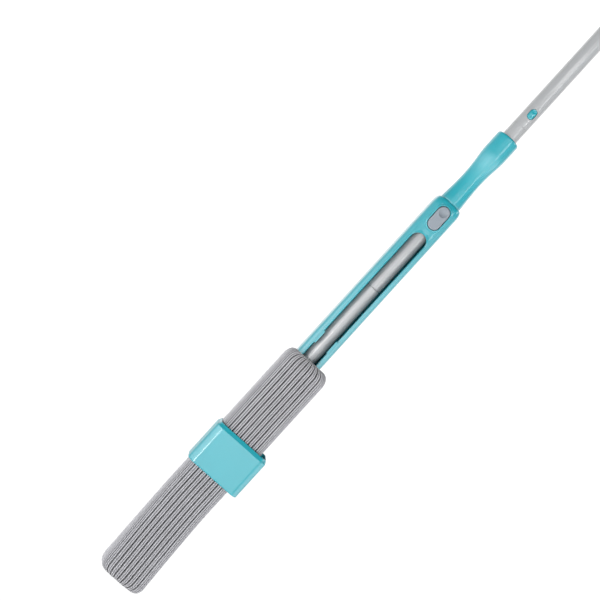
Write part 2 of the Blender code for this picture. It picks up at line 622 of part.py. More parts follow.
def build_head(base):
    """The hinge at the pole's lower end, the bracket, the carrier plates and the sponge."""
    flange_top = LOWER_TUBE_BOTTOM - SEAT_GAP
    flange_low = flange_top - END_FLANGE_HEIGHT
    plug = TUBE_BORE - SEAT_GAP
    profile = [(0.0, LOWER_TUBE_BOTTOM + END_PLUG_LENGTH), (plug, LOWER_TUBE_BOTTOM + END_PLUG_LENGTH),
               (plug, flange_top), (POLE_RADIUS, flange_top), (POLE_RADIUS, flange_low), (0.0, flange_low)]
    fitting = piece("pole_end_fitting", turned("pole_end_fitting", profile, closed=False), GREY_PLASTIC, base)
    rise = flange_low + END_FLANGE_HEIGHT / 2 - HINGE_HEIGHT
    eye = HINGE_EYE_RADIUS
    outline = arc(0.0, 0.0, eye, 180.0, 360.0, CORNER_STEPS * 2) + [(eye, rise), (-eye, rise)]
    tongue = facing_side(extruded("hinge_tongue", outline, -HINGE_TONGUE_HALF, HINGE_TONGUE_HALF))
    combine(fitting, cutter("hinge_tongue", tongue, base, (0.0, 0.0, HINGE_HEIGHT)), "UNION")

    hinge = frame("hinge_frame", HINGE_HEIGHT, 0.0, base)
    pin_reach = BRACKET_HALF_WIDTH - SEAT_GAP
    pin = rod("hinge_pin", HINGE_PIN_RADIUS, -pin_reach, pin_reach, SMALL_STEPS)
    pin.transform(Matrix.Rotation(math.radians(90.0), 4, "Y"))
    piece("hinge_pin", pin, BRIGHT_STEEL, hinge)
    bore = rod("hinge_bore", HINGE_PIN_RADIUS + SEAT_GAP, -CARRIER_BACK, CARRIER_BACK, SMALL_STEPS)
    bore.transform(Matrix.Rotation(math.radians(90.0), 4, "Y"))
    hinge_bore = cutter("hinge_bore", bore, hinge)
    combine(fitting, hinge_bore)

    base_front = CARRIER_BACK - SEAT_GAP
    base_back = base_front - BRACKET_BASE_THICKNESS
    bracket_mesh = block("head_bracket", -BRACKET_HALF_WIDTH, BRACKET_HALF_WIDTH, -base_back, -base_front,
                         -BRACKET_BASE_BELOW, BRACKET_BASE_ABOVE)
    bracket = piece("head_bracket", bracket_mesh, GREY_PLASTIC, hinge)
    root = base_back + BRACKET_BASE_THICKNESS / 2
    outline = arc(0.0, 0.0, eye, -90.0, 90.0, CORNER_STEPS * 2) + [(-root, eye * 2), (-root, -eye * 2)]
    inner = HINGE_TONGUE_HALF + SEAT_GAP
    for side, near, far in (("left", -BRACKET_HALF_WIDTH, -inner), ("right", inner, BRACKET_HALF_WIDTH)):
        ear = facing_side(extruded(f"bracket_ear_{side}", outline, near, far))
        combine(bracket, cutter(f"bracket_ear_{side}", ear, hinge), "UNION")
    combine(bracket, hinge_bore)

    screw_places = [(0.0, HINGE_HEIGHT - BRACKET_BASE_BELOW + BRACKET_SCREW_INSET),
                    (0.0, HINGE_HEIGHT + BRACKET_BASE_ABOVE - BRACKET_SCREW_INSET)]
    head_seat = -(base_front - SEAT_GAP * 2)
    tip = -(CARRIER_FRONT - SEAT_GAP * 2)
    radii = (PAD_SCREW_RADIUS, PAD_SCREW_HEAD_RADIUS)
    front_screws("bracket_screw", screw_places, (head_seat, tip), radii, BRIGHT_STEEL, base)
    head_pocket = front_holes("bracket_screw_pockets", screw_places, head_seat - SEAT_GAP, 0.0,
                              PAD_SCREW_HEAD_RADIUS + SEAT_GAP, base)
    shank_holes = front_holes("bracket_screw_holes", screw_places, tip - SEAT_GAP, 0.0,
                              PAD_SCREW_RADIUS + SEAT_GAP, base)
    cut_all(bracket, (head_pocket, shank_holes))

    half = PAD_HALF_WIDTH - CARRIER_SIDE_INSET
    outline = rounded_outline(-half, half, CARRIER_EDGE_INSET, PAD_LENGTH - CARRIER_EDGE_INSET, CARRIER_CORNER)
    carrier = piece("pad_carrier", front_plate("pad_carrier", outline, CARRIER_BACK, CARRIER_FRONT), TURQUOISE, base)
    combine(carrier, shank_holes)
    half = PAD_HALF_WIDTH - BACKING_SIDE_INSET
    outline = rounded_outline(-half, half, BACKING_EDGE_INSET, PAD_LENGTH - BACKING_EDGE_INSET, CARRIER_CORNER)
    backing_mesh = front_plate("pad_backing", outline, BACKING_BACK, BACKING_FRONT)
    backing = piece("pad_backing", backing_mesh, PALE_PLASTIC, base)

    places = [(x, height) for x in (-PAD_SCREW_HALF_SPACING, PAD_SCREW_HALF_SPACING)
              for height in (PAD_SCREW_END_INSET, PAD_LENGTH - PAD_SCREW_END_INSET)]
    head_seat = -(CARRIER_BACK + SEAT_GAP + SCREW_HEAD_HEIGHT)
    tip = -(BACKING_FRONT - SEAT_GAP)
    front_screws("pad_screw", places, (head_seat, tip), radii, BRIGHT_STEEL, base)
    pockets = front_holes("pad_screw_pockets", places, head_seat - SEAT_GAP, 0.0,
                          PAD_SCREW_HEAD_RADIUS + SEAT_GAP, base)
    holes = front_holes("pad_screw_holes", places, -PAD_BACK, 0.0, PAD_SCREW_RADIUS + SEAT_GAP, base)
    cut_all(carrier, (pockets, holes))
    combine(backing, holes)


def groove_edges():
    """The sponge's face from left to right: each step across it and how deep a groove cuts there."""
    marks = []
    count = PAD_GROOVES_EACH_SIDE * 2
    for index in range(-count, count + 1):
        main = index % 2 == 1
        centre = index * PAD_GROOVE_PITCH / 2
        half = PAD_GROOVE_HALF if main else PAD_FINE_GROOVE_HALF
        depth = PAD_GROOVE_DEPTH if main else PAD_FINE_GROOVE_DEPTH
        marks += [(centre - half, 0.0), (centre, depth), (centre + half, 0.0)]
    return marks


def pad_section(inset_side, inset_front):
    """The sponge's outline at one height, drawn in at its sides and its face near the ends."""
    half = PAD_HALF_WIDTH - inset_side
    shrink = half / PAD_HALF_WIDTH
    front = PAD_FRONT - inset_front
    rounding = PAD_SIDE_ROUNDING
    points = [(half, -PAD_BACK)]
    low_corner = front - PAD_DOME - rounding
    points += [(x, -y) for x, y in arc(half - rounding, low_corner, rounding, 0.0, 60.0, CORNER_STEPS)]
    for across, depth in reversed(groove_edges()):
        x = across * shrink
        dome = PAD_DOME * (x / half) ** 2
        points.append((x, -(front - dome - depth)))
    left = [(-x, y) for x, y in points[:CORNER_STEPS + 2]]
    return points + list(reversed(left))


def build_sponge(base):
    """The ribbed sponge: one outline lofted along the pad, rounded at both ends."""
    steps = CORNER_STEPS
    rings = []
    for step in range(steps + 1):
        angle = math.radians(90.0 * step / steps)
        height = PAD_END_ROUNDING * (1.0 - math.cos(angle))
        inset = 1.0 - math.sin(angle)
        rings.append((pad_section(PAD_CORNER_INSET * inset, PAD_END_ROUNDING * inset), height))
    upper = [(points, PAD_LENGTH - height) for points, height in reversed(rings)]
    mesh = lofted("sponge_pad", rings + upper)
    piece("sponge_pad", welded(mesh), SPONGE_GREY, base)


def ring_outline(inset):
    """Outer outline of the wringer ring, drawn in by an inset."""
    return rounded_outline(RING_CAVITY_LEFT - RING_WALL + inset, RING_CAVITY_RIGHT + RING_WALL - inset,
                           -(RING_CAVITY_FRONT + RING_WALL - inset), -(RING_CAVITY_BACK - RING_WALL + inset),
                           RING_CORNER - inset)


def housing_outline(inset, corner=HOUSING_CORNER):
    """Outer outline of the housing, drawn in by an inset."""
    return rounded_outline(-(HOUSING_HALF_WIDTH - inset), HOUSING_HALF_WIDTH - inset,
                           -(HOUSING_HALF_DEPTH - inset), HOUSING_HALF_DEPTH - inset, corner - inset)


def build_ring(carriage):
    """The wringer ring with the channel behind it, its liner, its bush and its screws."""
    top = RING_HEIGHT
    sections = [(ring_outline(RING_EDGE), 0.0), (ring_outline(0.0), RING_EDGE),
                (ring_outline(0.0), top - RING_BEVEL_HEIGHT), (ring_outline(RING_BEVEL_DEPTH), top)]
    ring = piece("wringer_ring", lofted("wringer_ring", sections), TURQUOISE, carriage)
    channel = extruded("ring_channel", housing_outline(0.0), 0.0, top)
    combine(ring, cutter("ring_channel", channel, carriage), "UNION")
    tenon_inset = HOUSING_WALL + SEAT_GAP
    tenon_bottom = top - OVERCUT
    tenon = extruded("ring_tenon", housing_outline(tenon_inset), tenon_bottom, top + TENON_LENGTH)
    combine(ring, cutter("ring_tenon", tenon, carriage), "UNION")
    cavity = rounded_outline(RING_CAVITY_LEFT, RING_CAVITY_RIGHT, -RING_CAVITY_FRONT, -RING_CAVITY_BACK,
                             RING_CORNER - RING_WALL)
    above = top + TENON_LENGTH + OVERCUT
    bush_outer = BORE_RADIUS + BUSH_WALL
    tools = [cutter("ring_cavity", extruded("ring_cavity", cavity, -OVERCUT, above), carriage),
             cutter("ring_bore", rod("ring_bore", bush_outer + SEAT_GAP, -OVERCUT, above), carriage),
             cutter("ring_mouth", block("ring_mouth", -SLOT_HALF_WIDTH, SLOT_HALF_WIDTH, 0.0,
                                        -(RING_CAVITY_BACK + OVERCUT), -OVERCUT, above), carriage)]
    cut_all(ring, tools)

    liner_outer = rounded_outline(RING_CAVITY_LEFT + SEAT_GAP, RING_CAVITY_RIGHT - SEAT_GAP,
                                  -(RING_CAVITY_FRONT - SEAT_GAP), -PAD_BACK, RING_CORNER - RING_WALL - SEAT_GAP)
    liner_mesh = extruded("ring_liner", liner_outer, LINER_EDGE_INSET, top - LINER_EDGE_INSET)
    liner = piece("ring_liner", liner_mesh, PALE_PLASTIC, carriage)
    inner_right = RING_CAVITY_RIGHT - SEAT_GAP - LINER_THICKNESS
    room = block("liner_room", -2 * PAD_HALF_WIDTH, inner_right, 0.0,
                 -(PAD_FRONT + WRINGING_GAP), -OVERCUT, top + OVERCUT)
    combine(liner, cutter("liner_room", room, carriage))

    bush_mesh = tube("lower_bush", bush_outer, BORE_RADIUS, RING_EDGE, top + TENON_LENGTH)
    bush = piece("lower_bush", bush_mesh, PALE_PLASTIC, carriage)
    mouth = block("bush_mouth", -BORE_RADIUS - SEAT_GAP, BORE_RADIUS + SEAT_GAP, -OVERCUT,
                  -CARRIER_BACK, -OVERCUT, above)
    combine(bush, cutter("bush_mouth", mouth, carriage))
    return ring


def build_housing(carriage, ring):
    """The slotted housing in two shells, with its screws."""
    shoulder = [(housing_outline(inset * MM), HOUSING_TOP - drop * MM) for drop, inset in SHOULDER_STEPS]
    sections = [(housing_outline(0.0), HOUSING_BOTTOM)] + shoulder
    front = piece("housing_front", lofted("housing_front", sections), TURQUOISE, carriage)
    back = piece("housing_back", lofted("housing_back", sections), TURQUOISE, carriage)

    above = HOUSING_TOP + OVERCUT
    below = HOUSING_BOTTOM - OVERCUT
    wide = 2 * HOUSING_HALF_WIDTH
    half_gap = SEAT_GAP / 2
    combine(front, cutter("behind_seam", block("behind_seam", -wide, wide, wide, -half_gap, below, above), carriage))
    combine(back, cutter("before_seam", block("before_seam", -wide, wide, half_gap, -wide, below, above), carriage))
    room_mesh = extruded("housing_room", housing_outline(HOUSING_WALL), below, HOUSING_TOP - HOUSING_TOP_PLATE)
    room = cutter("housing_room", room_mesh, carriage)
    neck_mesh = rod("housing_neck", GRIP_NECK_RADIUS + SEAT_GAP, HOUSING_TOP - 2 * HOUSING_TOP_PLATE, above)
    neck = cutter("housing_neck", neck_mesh, carriage)
    cut_all(front, (room, neck))
    cut_all(back, (room, neck))

    low = HOUSING_BOTTOM - 2 * SLOT_HALF_WIDTH
    centre = (low + SLOT_TOP) / 2
    length = SLOT_TOP - low
    widths = ((0.0, HOUSING_HALF_DEPTH - SLOT_CHAMFER), (SLOT_CHAMFER, HOUSING_HALF_DEPTH), (SLOT_CHAMFER,
              HOUSING_HALF_DEPTH + OVERCUT))
    slot_sections = [(stadium(2 * (SLOT_HALF_WIDTH + grow), length + 2 * grow), depth) for grow, depth in widths]
    slot_sections.insert(0, (stadium(2 * SLOT_HALF_WIDTH, length), 0.0))
    slot = cutter("slot", facing_front(lofted("slot", slot_sections)), carriage, (0.0, 0.0, centre))
    combine(front, slot)
    for side, sign in (("left", -1.0), ("right", 1.0)):
        near = SLOT_HALF_WIDTH - TAB_REACH
        far = SLOT_HALF_WIDTH + SLOT_CHAMFER
        left, right = sorted((sign * near, sign * far))
        depth = HOUSING_HALF_DEPTH - HOUSING_WALL
        tab = block(f"tab_{side}", left, right, -depth, -(depth + TAB_THICKNESS), TAB_HEIGHT, TAB_HEIGHT + TAB_LENGTH)
        combine(front, cutter(f"tab_{side}", tab, carriage), "UNION")

    lip_outline = stadium(BUTTON_WIDTH + 2 * (BUTTON_GAP + BUTTON_LIP), BUTTON_LENGTH + 2 * (BUTTON_GAP + BUTTON_LIP))
    lip_mesh = front_plate("button_lip", lip_outline, HOUSING_HALF_DEPTH - HOUSING_WALL / 2,
                           HOUSING_HALF_DEPTH + BUTTON_LIP_PROUD)
    combine(front, cutter("button_lip", lip_mesh, carriage, (0.0, 0.0, BUTTON_CENTRE)), "UNION")
    window_outline = stadium(BUTTON_WIDTH + 2 * BUTTON_GAP, BUTTON_LENGTH + 2 * BUTTON_GAP)
    window_mesh = front_plate("button_window", window_outline, POLE_RADIUS, HOUSING_HALF_DEPTH + OVERCUT)
    combine(front, cutter("button_window", window_mesh, carriage, (0.0, 0.0, BUTTON_CENTRE)))
    for side, sign in (("left", -1.0), ("right", 1.0)):
        left, right = sorted((sign * PIN_RIB_INNER, sign * PIN_RIB_OUTER))
        rib = block(f"pin_rib_{side}", left, right, -PIN_RIB_DEPTH, -(HOUSING_HALF_DEPTH - HOUSING_WALL / 2),
                    BUTTON_PIVOT - PIN_RIB_HALF_HEIGHT, BUTTON_PIVOT + PIN_RIB_HALF_HEIGHT)
        combine(front, cutter(f"pin_rib_{side}", rib, carriage), "UNION")
    drill = rod("button_pin_bore", BUTTON_PIN_RADIUS + SEAT_GAP, -PIN_RIB_OUTER - SEAT_GAP,
                PIN_RIB_OUTER + SEAT_GAP, SMALL_STEPS)
    drill.transform(Matrix.Rotation(math.radians(90.0), 4, "Y"))
    pin_place = (0.0, -BUTTON_PIVOT_DEPTH, BUTTON_PIVOT)
    combine(front, cutter("button_pin_bore", drill, carriage, pin_place))

    places = [(sign * BOSS_OFFSET, height) for height in HOUSING_SCREW_HEIGHTS for sign in (-1.0, 1.0)]
    combine(front, front_holes("front_bosses", places, -BOSS_REACH, -half_gap, BOSS_RADIUS, carriage), "UNION")
    combine(back, front_holes("back_bosses", places, half_gap, BOSS_REACH, BOSS_RADIUS, carriage), "UNION")
    head_seat = BOSS_REACH - BOSS_RADIUS
    tip = -head_seat
    radii = (SCREW_RADIUS, SCREW_HEAD_RADIUS)
    front_screws("housing_screw", places, (head_seat, tip), radii, BRIGHT_STEEL, carriage)
    shanks = front_holes("housing_screw_holes", places, tip - SEAT_GAP, head_seat + OVERCUT,
                         SCREW_RADIUS + SEAT_GAP, carriage)
    heads = front_holes("housing_screw_pockets", places, head_seat - SEAT_GAP, wide,
                        SCREW_HEAD_RADIUS + SEAT_GAP, carriage)
    combine(front, shanks)
    cut_all(back, (shanks, heads))

    ring_places = [(sign * RING_SCREW_OFFSET, RING_HEIGHT + TENON_LENGTH / 2) for sign in (-1.0, 1.0)]
    front_screws("ring_screw", ring_places, (RING_SCREW_SEAT, RING_SCREW_TIP), radii, BRIGHT_STEEL, carriage)
    ring_shanks = front_holes("ring_screw_holes", ring_places, RING_SCREW_TIP - SEAT_GAP, RING_SCREW_SEAT + OVERCUT,
                              SCREW_RADIUS + SEAT_GAP, carriage)
    ring_heads = front_holes("ring_screw_pockets", ring_places, RING_SCREW_SEAT - SEAT_GAP, wide,
                             SCREW_HEAD_RADIUS + SEAT_GAP, carriage)
    combine(ring, ring_shanks)
    cut_all(back, (ring_shanks, ring_heads))


def build_grip(carriage):
    """The waisted hand grip above the housing, and the bush in its upper end."""
    outer = [(radius * MM, GRIP_TOP - drop * MM) for drop, radius in GRIP_PROFILE]
    bush_room = GRIP_BUSH_RADIUS + SEAT_GAP
    bush_low = GRIP_TOP - GRIP_BUSH_DEPTH - GRIP_BUSH_LENGTH
    neck_low = HOUSING_TOP - HOUSING_TOP_PLATE - SEAT_GAP
    flange_low = neck_low - GRIP_FLANGE_HEIGHT
    bore = BORE_RADIUS + RUNNING_GAP
    profile = outer + [(outer[-1][0], GRIP_BOTTOM), (GRIP_NECK_RADIUS, GRIP_BOTTOM), (GRIP_NECK_RADIUS, neck_low),
                       (GRIP_FLANGE_RADIUS, neck_low), (GRIP_FLANGE_RADIUS, flange_low), (bore, flange_low),
                       (bore, bush_low - SEAT_GAP), (bush_room, bush_low - SEAT_GAP), (bush_room, GRIP_TOP)]
    piece("grip_sleeve", turned("grip_sleeve", profile), TURQUOISE, carriage)
    bush = tube("grip_bush", GRIP_BUSH_RADIUS, BORE_RADIUS, bush_low, bush_low + GRIP_BUSH_LENGTH)
    piece("grip_bush", bush, GREY_PLASTIC, carriage)


def cross_rod(name, radius, reach):
    """A short cylinder that lies from left to right."""
    mesh = rod(name, radius, -reach, reach, SMALL_STEPS)
    mesh.transform(Matrix.Rotation(math.radians(90.0), 4, "Y"))
    return mesh


def build_button(carriage):
    """The release rocker with its brake shoe, its pin and its torsion spring."""
    pivot = frame("release_button_frame", BUTTON_PIVOT, -BUTTON_PIVOT_DEPTH, carriage)
    outer = HOUSING_HALF_DEPTH + BUTTON_PROUD - BUTTON_PIVOT_DEPTH
    flange_front = HOUSING_HALF_DEPTH - HOUSING_WALL - SEAT_GAP - BUTTON_PIVOT_DEPTH
    inner = flange_front - BUTTON_FLANGE
    full = stadium(BUTTON_WIDTH, BUTTON_LENGTH)
    rounded = stadium(BUTTON_WIDTH - 2 * BUTTON_EDGE, BUTTON_LENGTH - 2 * BUTTON_EDGE)
    plate = facing_front(lofted("release_button", [(full, inner), (full, outer - BUTTON_EDGE), (rounded, outer)]))
    plate.transform(Matrix.Translation((0.0, 0.0, BUTTON_PIVOT_BELOW)))
    button = piece("release_button", plate, GREY_PLASTIC, pivot)

    rim = 2 * (BUTTON_GAP + BUTTON_FLANGE)
    tongue = stadium(BUTTON_WIDTH - 2 * BUTTON_FLANGE, BUTTON_LENGTH + rim)
    flange_mesh = front_plate("button_flange", tongue, inner, flange_front)
    flange = cutter("button_flange", flange_mesh, pivot, (0.0, 0.0, BUTTON_PIVOT_BELOW))
    lower_half = block("flange_lower_half", -BUTTON_LENGTH, BUTTON_LENGTH, BUTTON_LENGTH, -BUTTON_LENGTH,
                       -BUTTON_LENGTH, 0.0)
    combine(flange, cutter("flange_lower_half", lower_half, pivot, (0.0, 0.0, BUTTON_PIVOT_BELOW)))
    combine(button, flange, "UNION")

    near = BUTTON_EAR_HALF
    far = near + BUTTON_EAR_THICKNESS
    radius = BUTTON_PIN_RADIUS + SEAT_GAP + BUTTON_EAR_WALL
    root = -(inner + BUTTON_EDGE)
    outline = arc(0.0, 0.0, radius, -90.0, 90.0, CORNER_STEPS) + [(root, radius), (root, -radius)]
    for side, low, high in (("left", -far, -near), ("right", near, far)):
        ear = facing_side(extruded(f"button_ear_{side}", outline, low, high))
        combine(button, cutter(f"button_ear_{side}", ear, pivot), "UNION")
    pin_bore = cross_rod("button_ear_bore", BUTTON_PIN_RADIUS + SEAT_GAP, PIN_RIB_OUTER)
    combine(button, cutter("button_ear_bore", pin_bore, pivot))
    pocket = rod("spring_pocket", SPRING_POCKET_RADIUS, far + SEAT_GAP, BUTTON_WIDTH, SMALL_STEPS)
    pocket.transform(Matrix.Rotation(math.radians(90.0), 4, "Y"))
    combine(button, cutter("spring_pocket", pocket, pivot))
    thumb = rod("button_dimple", BUTTON_DIMPLE_RADIUS, outer - BUTTON_DIMPLE_DEPTH, outer + OVERCUT)
    dimple_place = (0.0, 0.0, BUTTON_PIVOT_BELOW + BUTTON_DIMPLE_ABOVE)
    combine(button, cutter("button_dimple", facing_front(thumb), pivot, dimple_place))

    pin = cross_rod("button_pin", BUTTON_PIN_RADIUS, PIN_RIB_OUTER - SEAT_GAP)
    place = (0.0, -BUTTON_PIVOT_DEPTH, BUTTON_PIVOT)
    piece("button_pin", pin, BRIGHT_STEEL, carriage, place)

    shoe_mesh = block("brake_shoe", -SHOE_HALF_WIDTH, SHOE_HALF_WIDTH, BUTTON_PIVOT_DEPTH - BORE_RADIUS / 2,
                      -(inner - SEAT_GAP), -SHOE_BELOW_PIVOT - SHOE_HALF_HEIGHT,
                      -SHOE_BELOW_PIVOT + SHOE_HALF_HEIGHT)
    shoe = piece("brake_shoe", shoe_mesh, DARK_RUBBER, pivot)
    wrap = rod("shoe_wrap", POLE_RADIUS + SHOE_GAP, -BUTTON_LENGTH, BUTTON_LENGTH)
    combine(shoe, cutter("shoe_wrap", wrap, pivot, (0.0, BUTTON_PIVOT_DEPTH, 0.0)))
    build_button_spring(carriage, place, inner, flange_front)


def build_button_spring(carriage, place, plate_inner, wall_inner):
    """The wire spring that pushes the button's upper end out: a leg under the plate and one under the wall."""
    radius = SPRING_COIL_RADIUS
    upper_rest = -(plate_inner - SEAT_GAP - SPRING_WIRE)
    lower_rest = -(wall_inner - SPRING_WIRE)
    points = [(SPRING_LEFT, upper_rest, SPRING_UPPER_LEG)]
    count = SPRING_TURNS * SPRING_POINTS
    for index in range(count + 1):
        angle = 2 * math.pi * index / SPRING_POINTS
        x = SPRING_LEFT + (SPRING_RIGHT - SPRING_LEFT) * index / count
        points.append((x, radius * math.cos(angle), -radius * math.sin(angle)))
    points.append((SPRING_RIGHT, lower_rest, -SPRING_LOWER_LEG))
    piece("button_spring", wire("button_spring", points, SPRING_WIRE), BRIGHT_STEEL, carriage, place)


hanging = frame("hanging_frame", -EYE_HEIGHT)
build_pole(hanging)
build_pole_lock(hanging)
build_pole_top(hanging)
build_head(hanging)
build_sponge(hanging)
carriage_frame = frame("carriage_frame", CARRIAGE_HEIGHT, 0.0, hanging)
wringer_ring = build_ring(carriage_frame)
build_housing(carriage_frame, wringer_ring)
build_grip(carriage_frame)
build_button(carriage_frame)
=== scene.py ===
"""Sponge mop with a sliding wringer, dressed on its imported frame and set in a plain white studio.

The pole's axis is the world Z axis, the sponge faces -Y and the origin is the centre of the hanging eye.
Sizes in the mop's classes are in millimetres, and depths count forward from the pole's axis. Heights are on
a scale that has the eye at 1226 and the sponge's lower end at -4, and `world` turns them into world metres.
"""

import json
import logging
import math
from collections.abc import Iterable, Sequence
from dataclasses import dataclass
from enum import Enum
from functools import cache

import bmesh
import bpy
from mathutils import Matrix, Vector, noise

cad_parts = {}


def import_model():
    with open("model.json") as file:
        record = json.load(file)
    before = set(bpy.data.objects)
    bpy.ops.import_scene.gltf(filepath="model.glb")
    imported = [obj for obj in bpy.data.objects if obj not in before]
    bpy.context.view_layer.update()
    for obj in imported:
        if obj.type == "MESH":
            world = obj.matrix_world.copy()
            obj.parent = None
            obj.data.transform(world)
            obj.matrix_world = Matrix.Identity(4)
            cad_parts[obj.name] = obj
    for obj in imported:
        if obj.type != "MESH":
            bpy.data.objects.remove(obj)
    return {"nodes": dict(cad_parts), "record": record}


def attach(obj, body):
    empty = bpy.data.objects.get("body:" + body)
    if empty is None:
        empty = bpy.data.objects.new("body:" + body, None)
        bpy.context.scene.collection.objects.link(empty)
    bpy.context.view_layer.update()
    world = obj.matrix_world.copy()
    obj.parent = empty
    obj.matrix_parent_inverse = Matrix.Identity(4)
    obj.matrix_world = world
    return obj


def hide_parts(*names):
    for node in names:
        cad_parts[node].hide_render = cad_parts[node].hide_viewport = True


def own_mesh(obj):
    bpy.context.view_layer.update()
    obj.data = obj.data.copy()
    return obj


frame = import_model()

LOG = logging.getLogger("sponge_mop")
MM = 0.001
Pair = tuple[float, float]
Colour = tuple[float, float, float]
Stops = Sequence[tuple[float, Colour]]
Loop = list[Vector]

# Driving sizes that more than one class shares.
EYE_HEIGHT = 1226.0
CARRIAGE_HEIGHT = 156.0
RING_HEIGHT = 54.3
HOUSING_TOP = 565.0
POLE_TOP = 1200.0
SEAT_GAP = 0.3
CHANNEL_HALF = (17.35, 16.5)
CHANNEL_CORNER = 11.0
BUTTON_HEIGHT = 542.6
BUTTON_SIZE = (15.3, 30.6)
LOCK_HEIGHT = 702.0
LOCK_SIZE = (8.2, 13.2)
OVERCUT = 2.0


def world(height: float) -> float:
    """World Z in metres of a height in millimetres on the mop's own scale."""
    return (height - EYE_HEIGHT) * MM


class Body(Enum):
    """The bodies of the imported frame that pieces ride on."""

    POLE = "pole"
    CARRIAGE = "carriage"
    RELEASE = "release"
    POLE_LOCK = "pole_lock"


class Slot(Enum):
    """The record's material slots."""

    TURQUOISE = "turquoise_plastic"
    STEEL = "pole_steel"
    BRIGHT = "bright_steel"
    GREY = "grey_plastic"
    PALE = "pale_plastic"
    RUBBER = "dark_rubber"
    SPONGE = "sponge"


@dataclass
class Value:
    """A number that varies over a surface: a socket whose arithmetic adds Math nodes.

    Attributes:
        graph: The graph that new nodes go in.
        socket: The output that holds the number.
    """

    graph: "Graph"
    socket: bpy.types.NodeSocket

    def _with(self, operation: str, first: "Value | float", second: "Value | float") -> "Value":
        """Add a Math node on two values and return its result."""
        made = self.graph.node("ShaderNodeMath", {"operation": operation}, {0: first, 1: second})
        return Value(self.graph, made.outputs[0])

    def __add__(self, other: "Value | float") -> "Value":
        """Sum."""
        return self._with("ADD", self, other)

    def __radd__(self, other: float) -> "Value":
        """Sum with a number on the left."""
        return self._with("ADD", other, self)

    def __sub__(self, other: "Value | float") -> "Value":
        """Difference."""
        return self._with("SUBTRACT", self, other)

    def __rsub__(self, other: float) -> "Value":
        """Difference from a number on the left."""
        return self._with("SUBTRACT", other, self)

    def __mul__(self, other: "Value | float") -> "Value":
        """Product."""
        return self._with("MULTIPLY", self, other)

    def __rmul__(self, other: float) -> "Value":
        """Product with a number on the left."""
        return self._with("MULTIPLY", other, self)


@dataclass
class Graph:
    """The node graph of a material or of the world.

    Attributes:
        owner: The material or world.
    """

    owner: bpy.types.Material | bpy.types.World

    def __post_init__(self) -> None:
        """Turn the owner's nodes on."""
        self.owner.use_nodes = True

    @property
    def shader(self) -> bpy.types.Node:
        """The shader that nodes feed: a material's Principled one or a world's background."""
        nodes = self.owner.node_tree.nodes
        return nodes.get("Principled BSDF") or nodes["Background"]

    def node(self, kind: str, settings: dict[str, object],
             sockets: dict[str | int, object]) -> bpy.types.Node:
        """Add a node.

        Args:
            kind: Blender's name of the node's type.
            settings: The node's own settings, set first; `stops` holds a ramp's places and colours.
            sockets: What goes in each input: a number, a colour, a Value or an output socket.

        Returns:
            The node.
        """
        made = self.owner.node_tree.nodes.new(kind)
        for key, setting in settings.items():
            if key == "stops":
                self._set_stops(made.color_ramp, setting)
            else:
                setattr(made, key, setting)
        for key, given in sockets.items():
            self.feed(made.inputs[key], given)
        return made

    @staticmethod
    def _set_stops(ramp: bpy.types.ColorRamp, stops: Stops) -> None:
        """Give a colour ramp its stops.

        Args:
            ramp: The ramp.
            stops: The place and the colour of each stop.
        """
        while len(ramp.elements) < len(stops):
            ramp.elements.new(1.0)
        for element, (place, colour) in zip(ramp.elements, stops):
            element.position = place
            element.color = (*colour, 1.0)

    def feed(self, socket: bpy.types.NodeSocket, given: object) -> None:
        """Link a value or an output to an input, or set a constant on it.

        Args:
            socket: The input.
            given: The value, output or constant.
        """
        source = given.socket if isinstance(given, Value) else given
        if isinstance(source, bpy.types.NodeSocket):
            self.owner.node_tree.links.new(source, socket)
        else:
            socket.default_value = source

    def set(self, **given: object) -> None:
        """Feed the shader's inputs, with underscores for the spaces in their names."""
        for key, what in given.items():
            self.feed(self.shader.inputs[key.replace("_", " ")], what)

    def place(self, axis: str, source: str = "Object") -> Value:
        """One axis of where a point is, or of where a ray of the world points."""
        spot = self.node("ShaderNodeTexCoord", {}, {}).outputs[source]
        return Value(self, self.node("ShaderNodeSeparateXYZ", {}, {0: spot}).outputs[axis])

    def noise(self, scale: float, detail: float = 3.0, stretch: Colour = (1.0, 1.0, 1.0)) -> Value:
        """Object-space noise from 0 to 1.

        Args:
            scale: Cycles to a metre.
            detail: Octaves.
            stretch: Scale along each axis.

        Returns:
            The noise.
        """
        place = self.node("ShaderNodeTexCoord", {}, {}).outputs["Object"]
        mapped = self.node("ShaderNodeMapping", {}, {"Vector": place, "Scale": stretch}).outputs[0]
        made = self.node("ShaderNodeTexNoise", {}, {"Vector": mapped, "Scale": scale, "Detail": detail})
        return Value(self, made.outputs["Fac"])

    def cells(self, scale: float) -> Value:
        """Distance to the nearest of scattered cell centres.

        Args:
            scale: Cells to a metre.

        Returns:
            The distance.
        """
        place = self.node("ShaderNodeTexCoord", {}, {}).outputs["Object"]
        made = self.node("ShaderNodeTexVoronoi", {}, {"Vector": place, "Scale": scale})
        return Value(self, made.outputs[0])

    def attribute(self, name: str) -> Value:
        """A number stored on the mesh's points."""
        return Value(self, self.node("ShaderNodeAttribute", {"attribute_name": name}, {}).outputs["Fac"])

    def ramp(self, value: Value, stops: Stops) -> bpy.types.NodeSocket:
        """Colours that follow a value."""
        return self.node("ShaderNodeValToRGB", {"stops": stops}, {"Fac": value}).outputs["Color"]

    def bump(self, height: Value, distance: float, strength: float) -> bpy.types.NodeSocket:
        """The normal of a relief, from its height, its depth in metres and how much of it shows."""
        made = self.node("ShaderNodeBump", {}, {"Height": height, "Distance": distance, "Strength": strength})
        return made.outputs["Normal"]


def shade(colour: Colour, factor: float) -> Colour:
    """A colour made lighter or darker."""
    return tuple(min(1.0, part * factor) for part in colour)


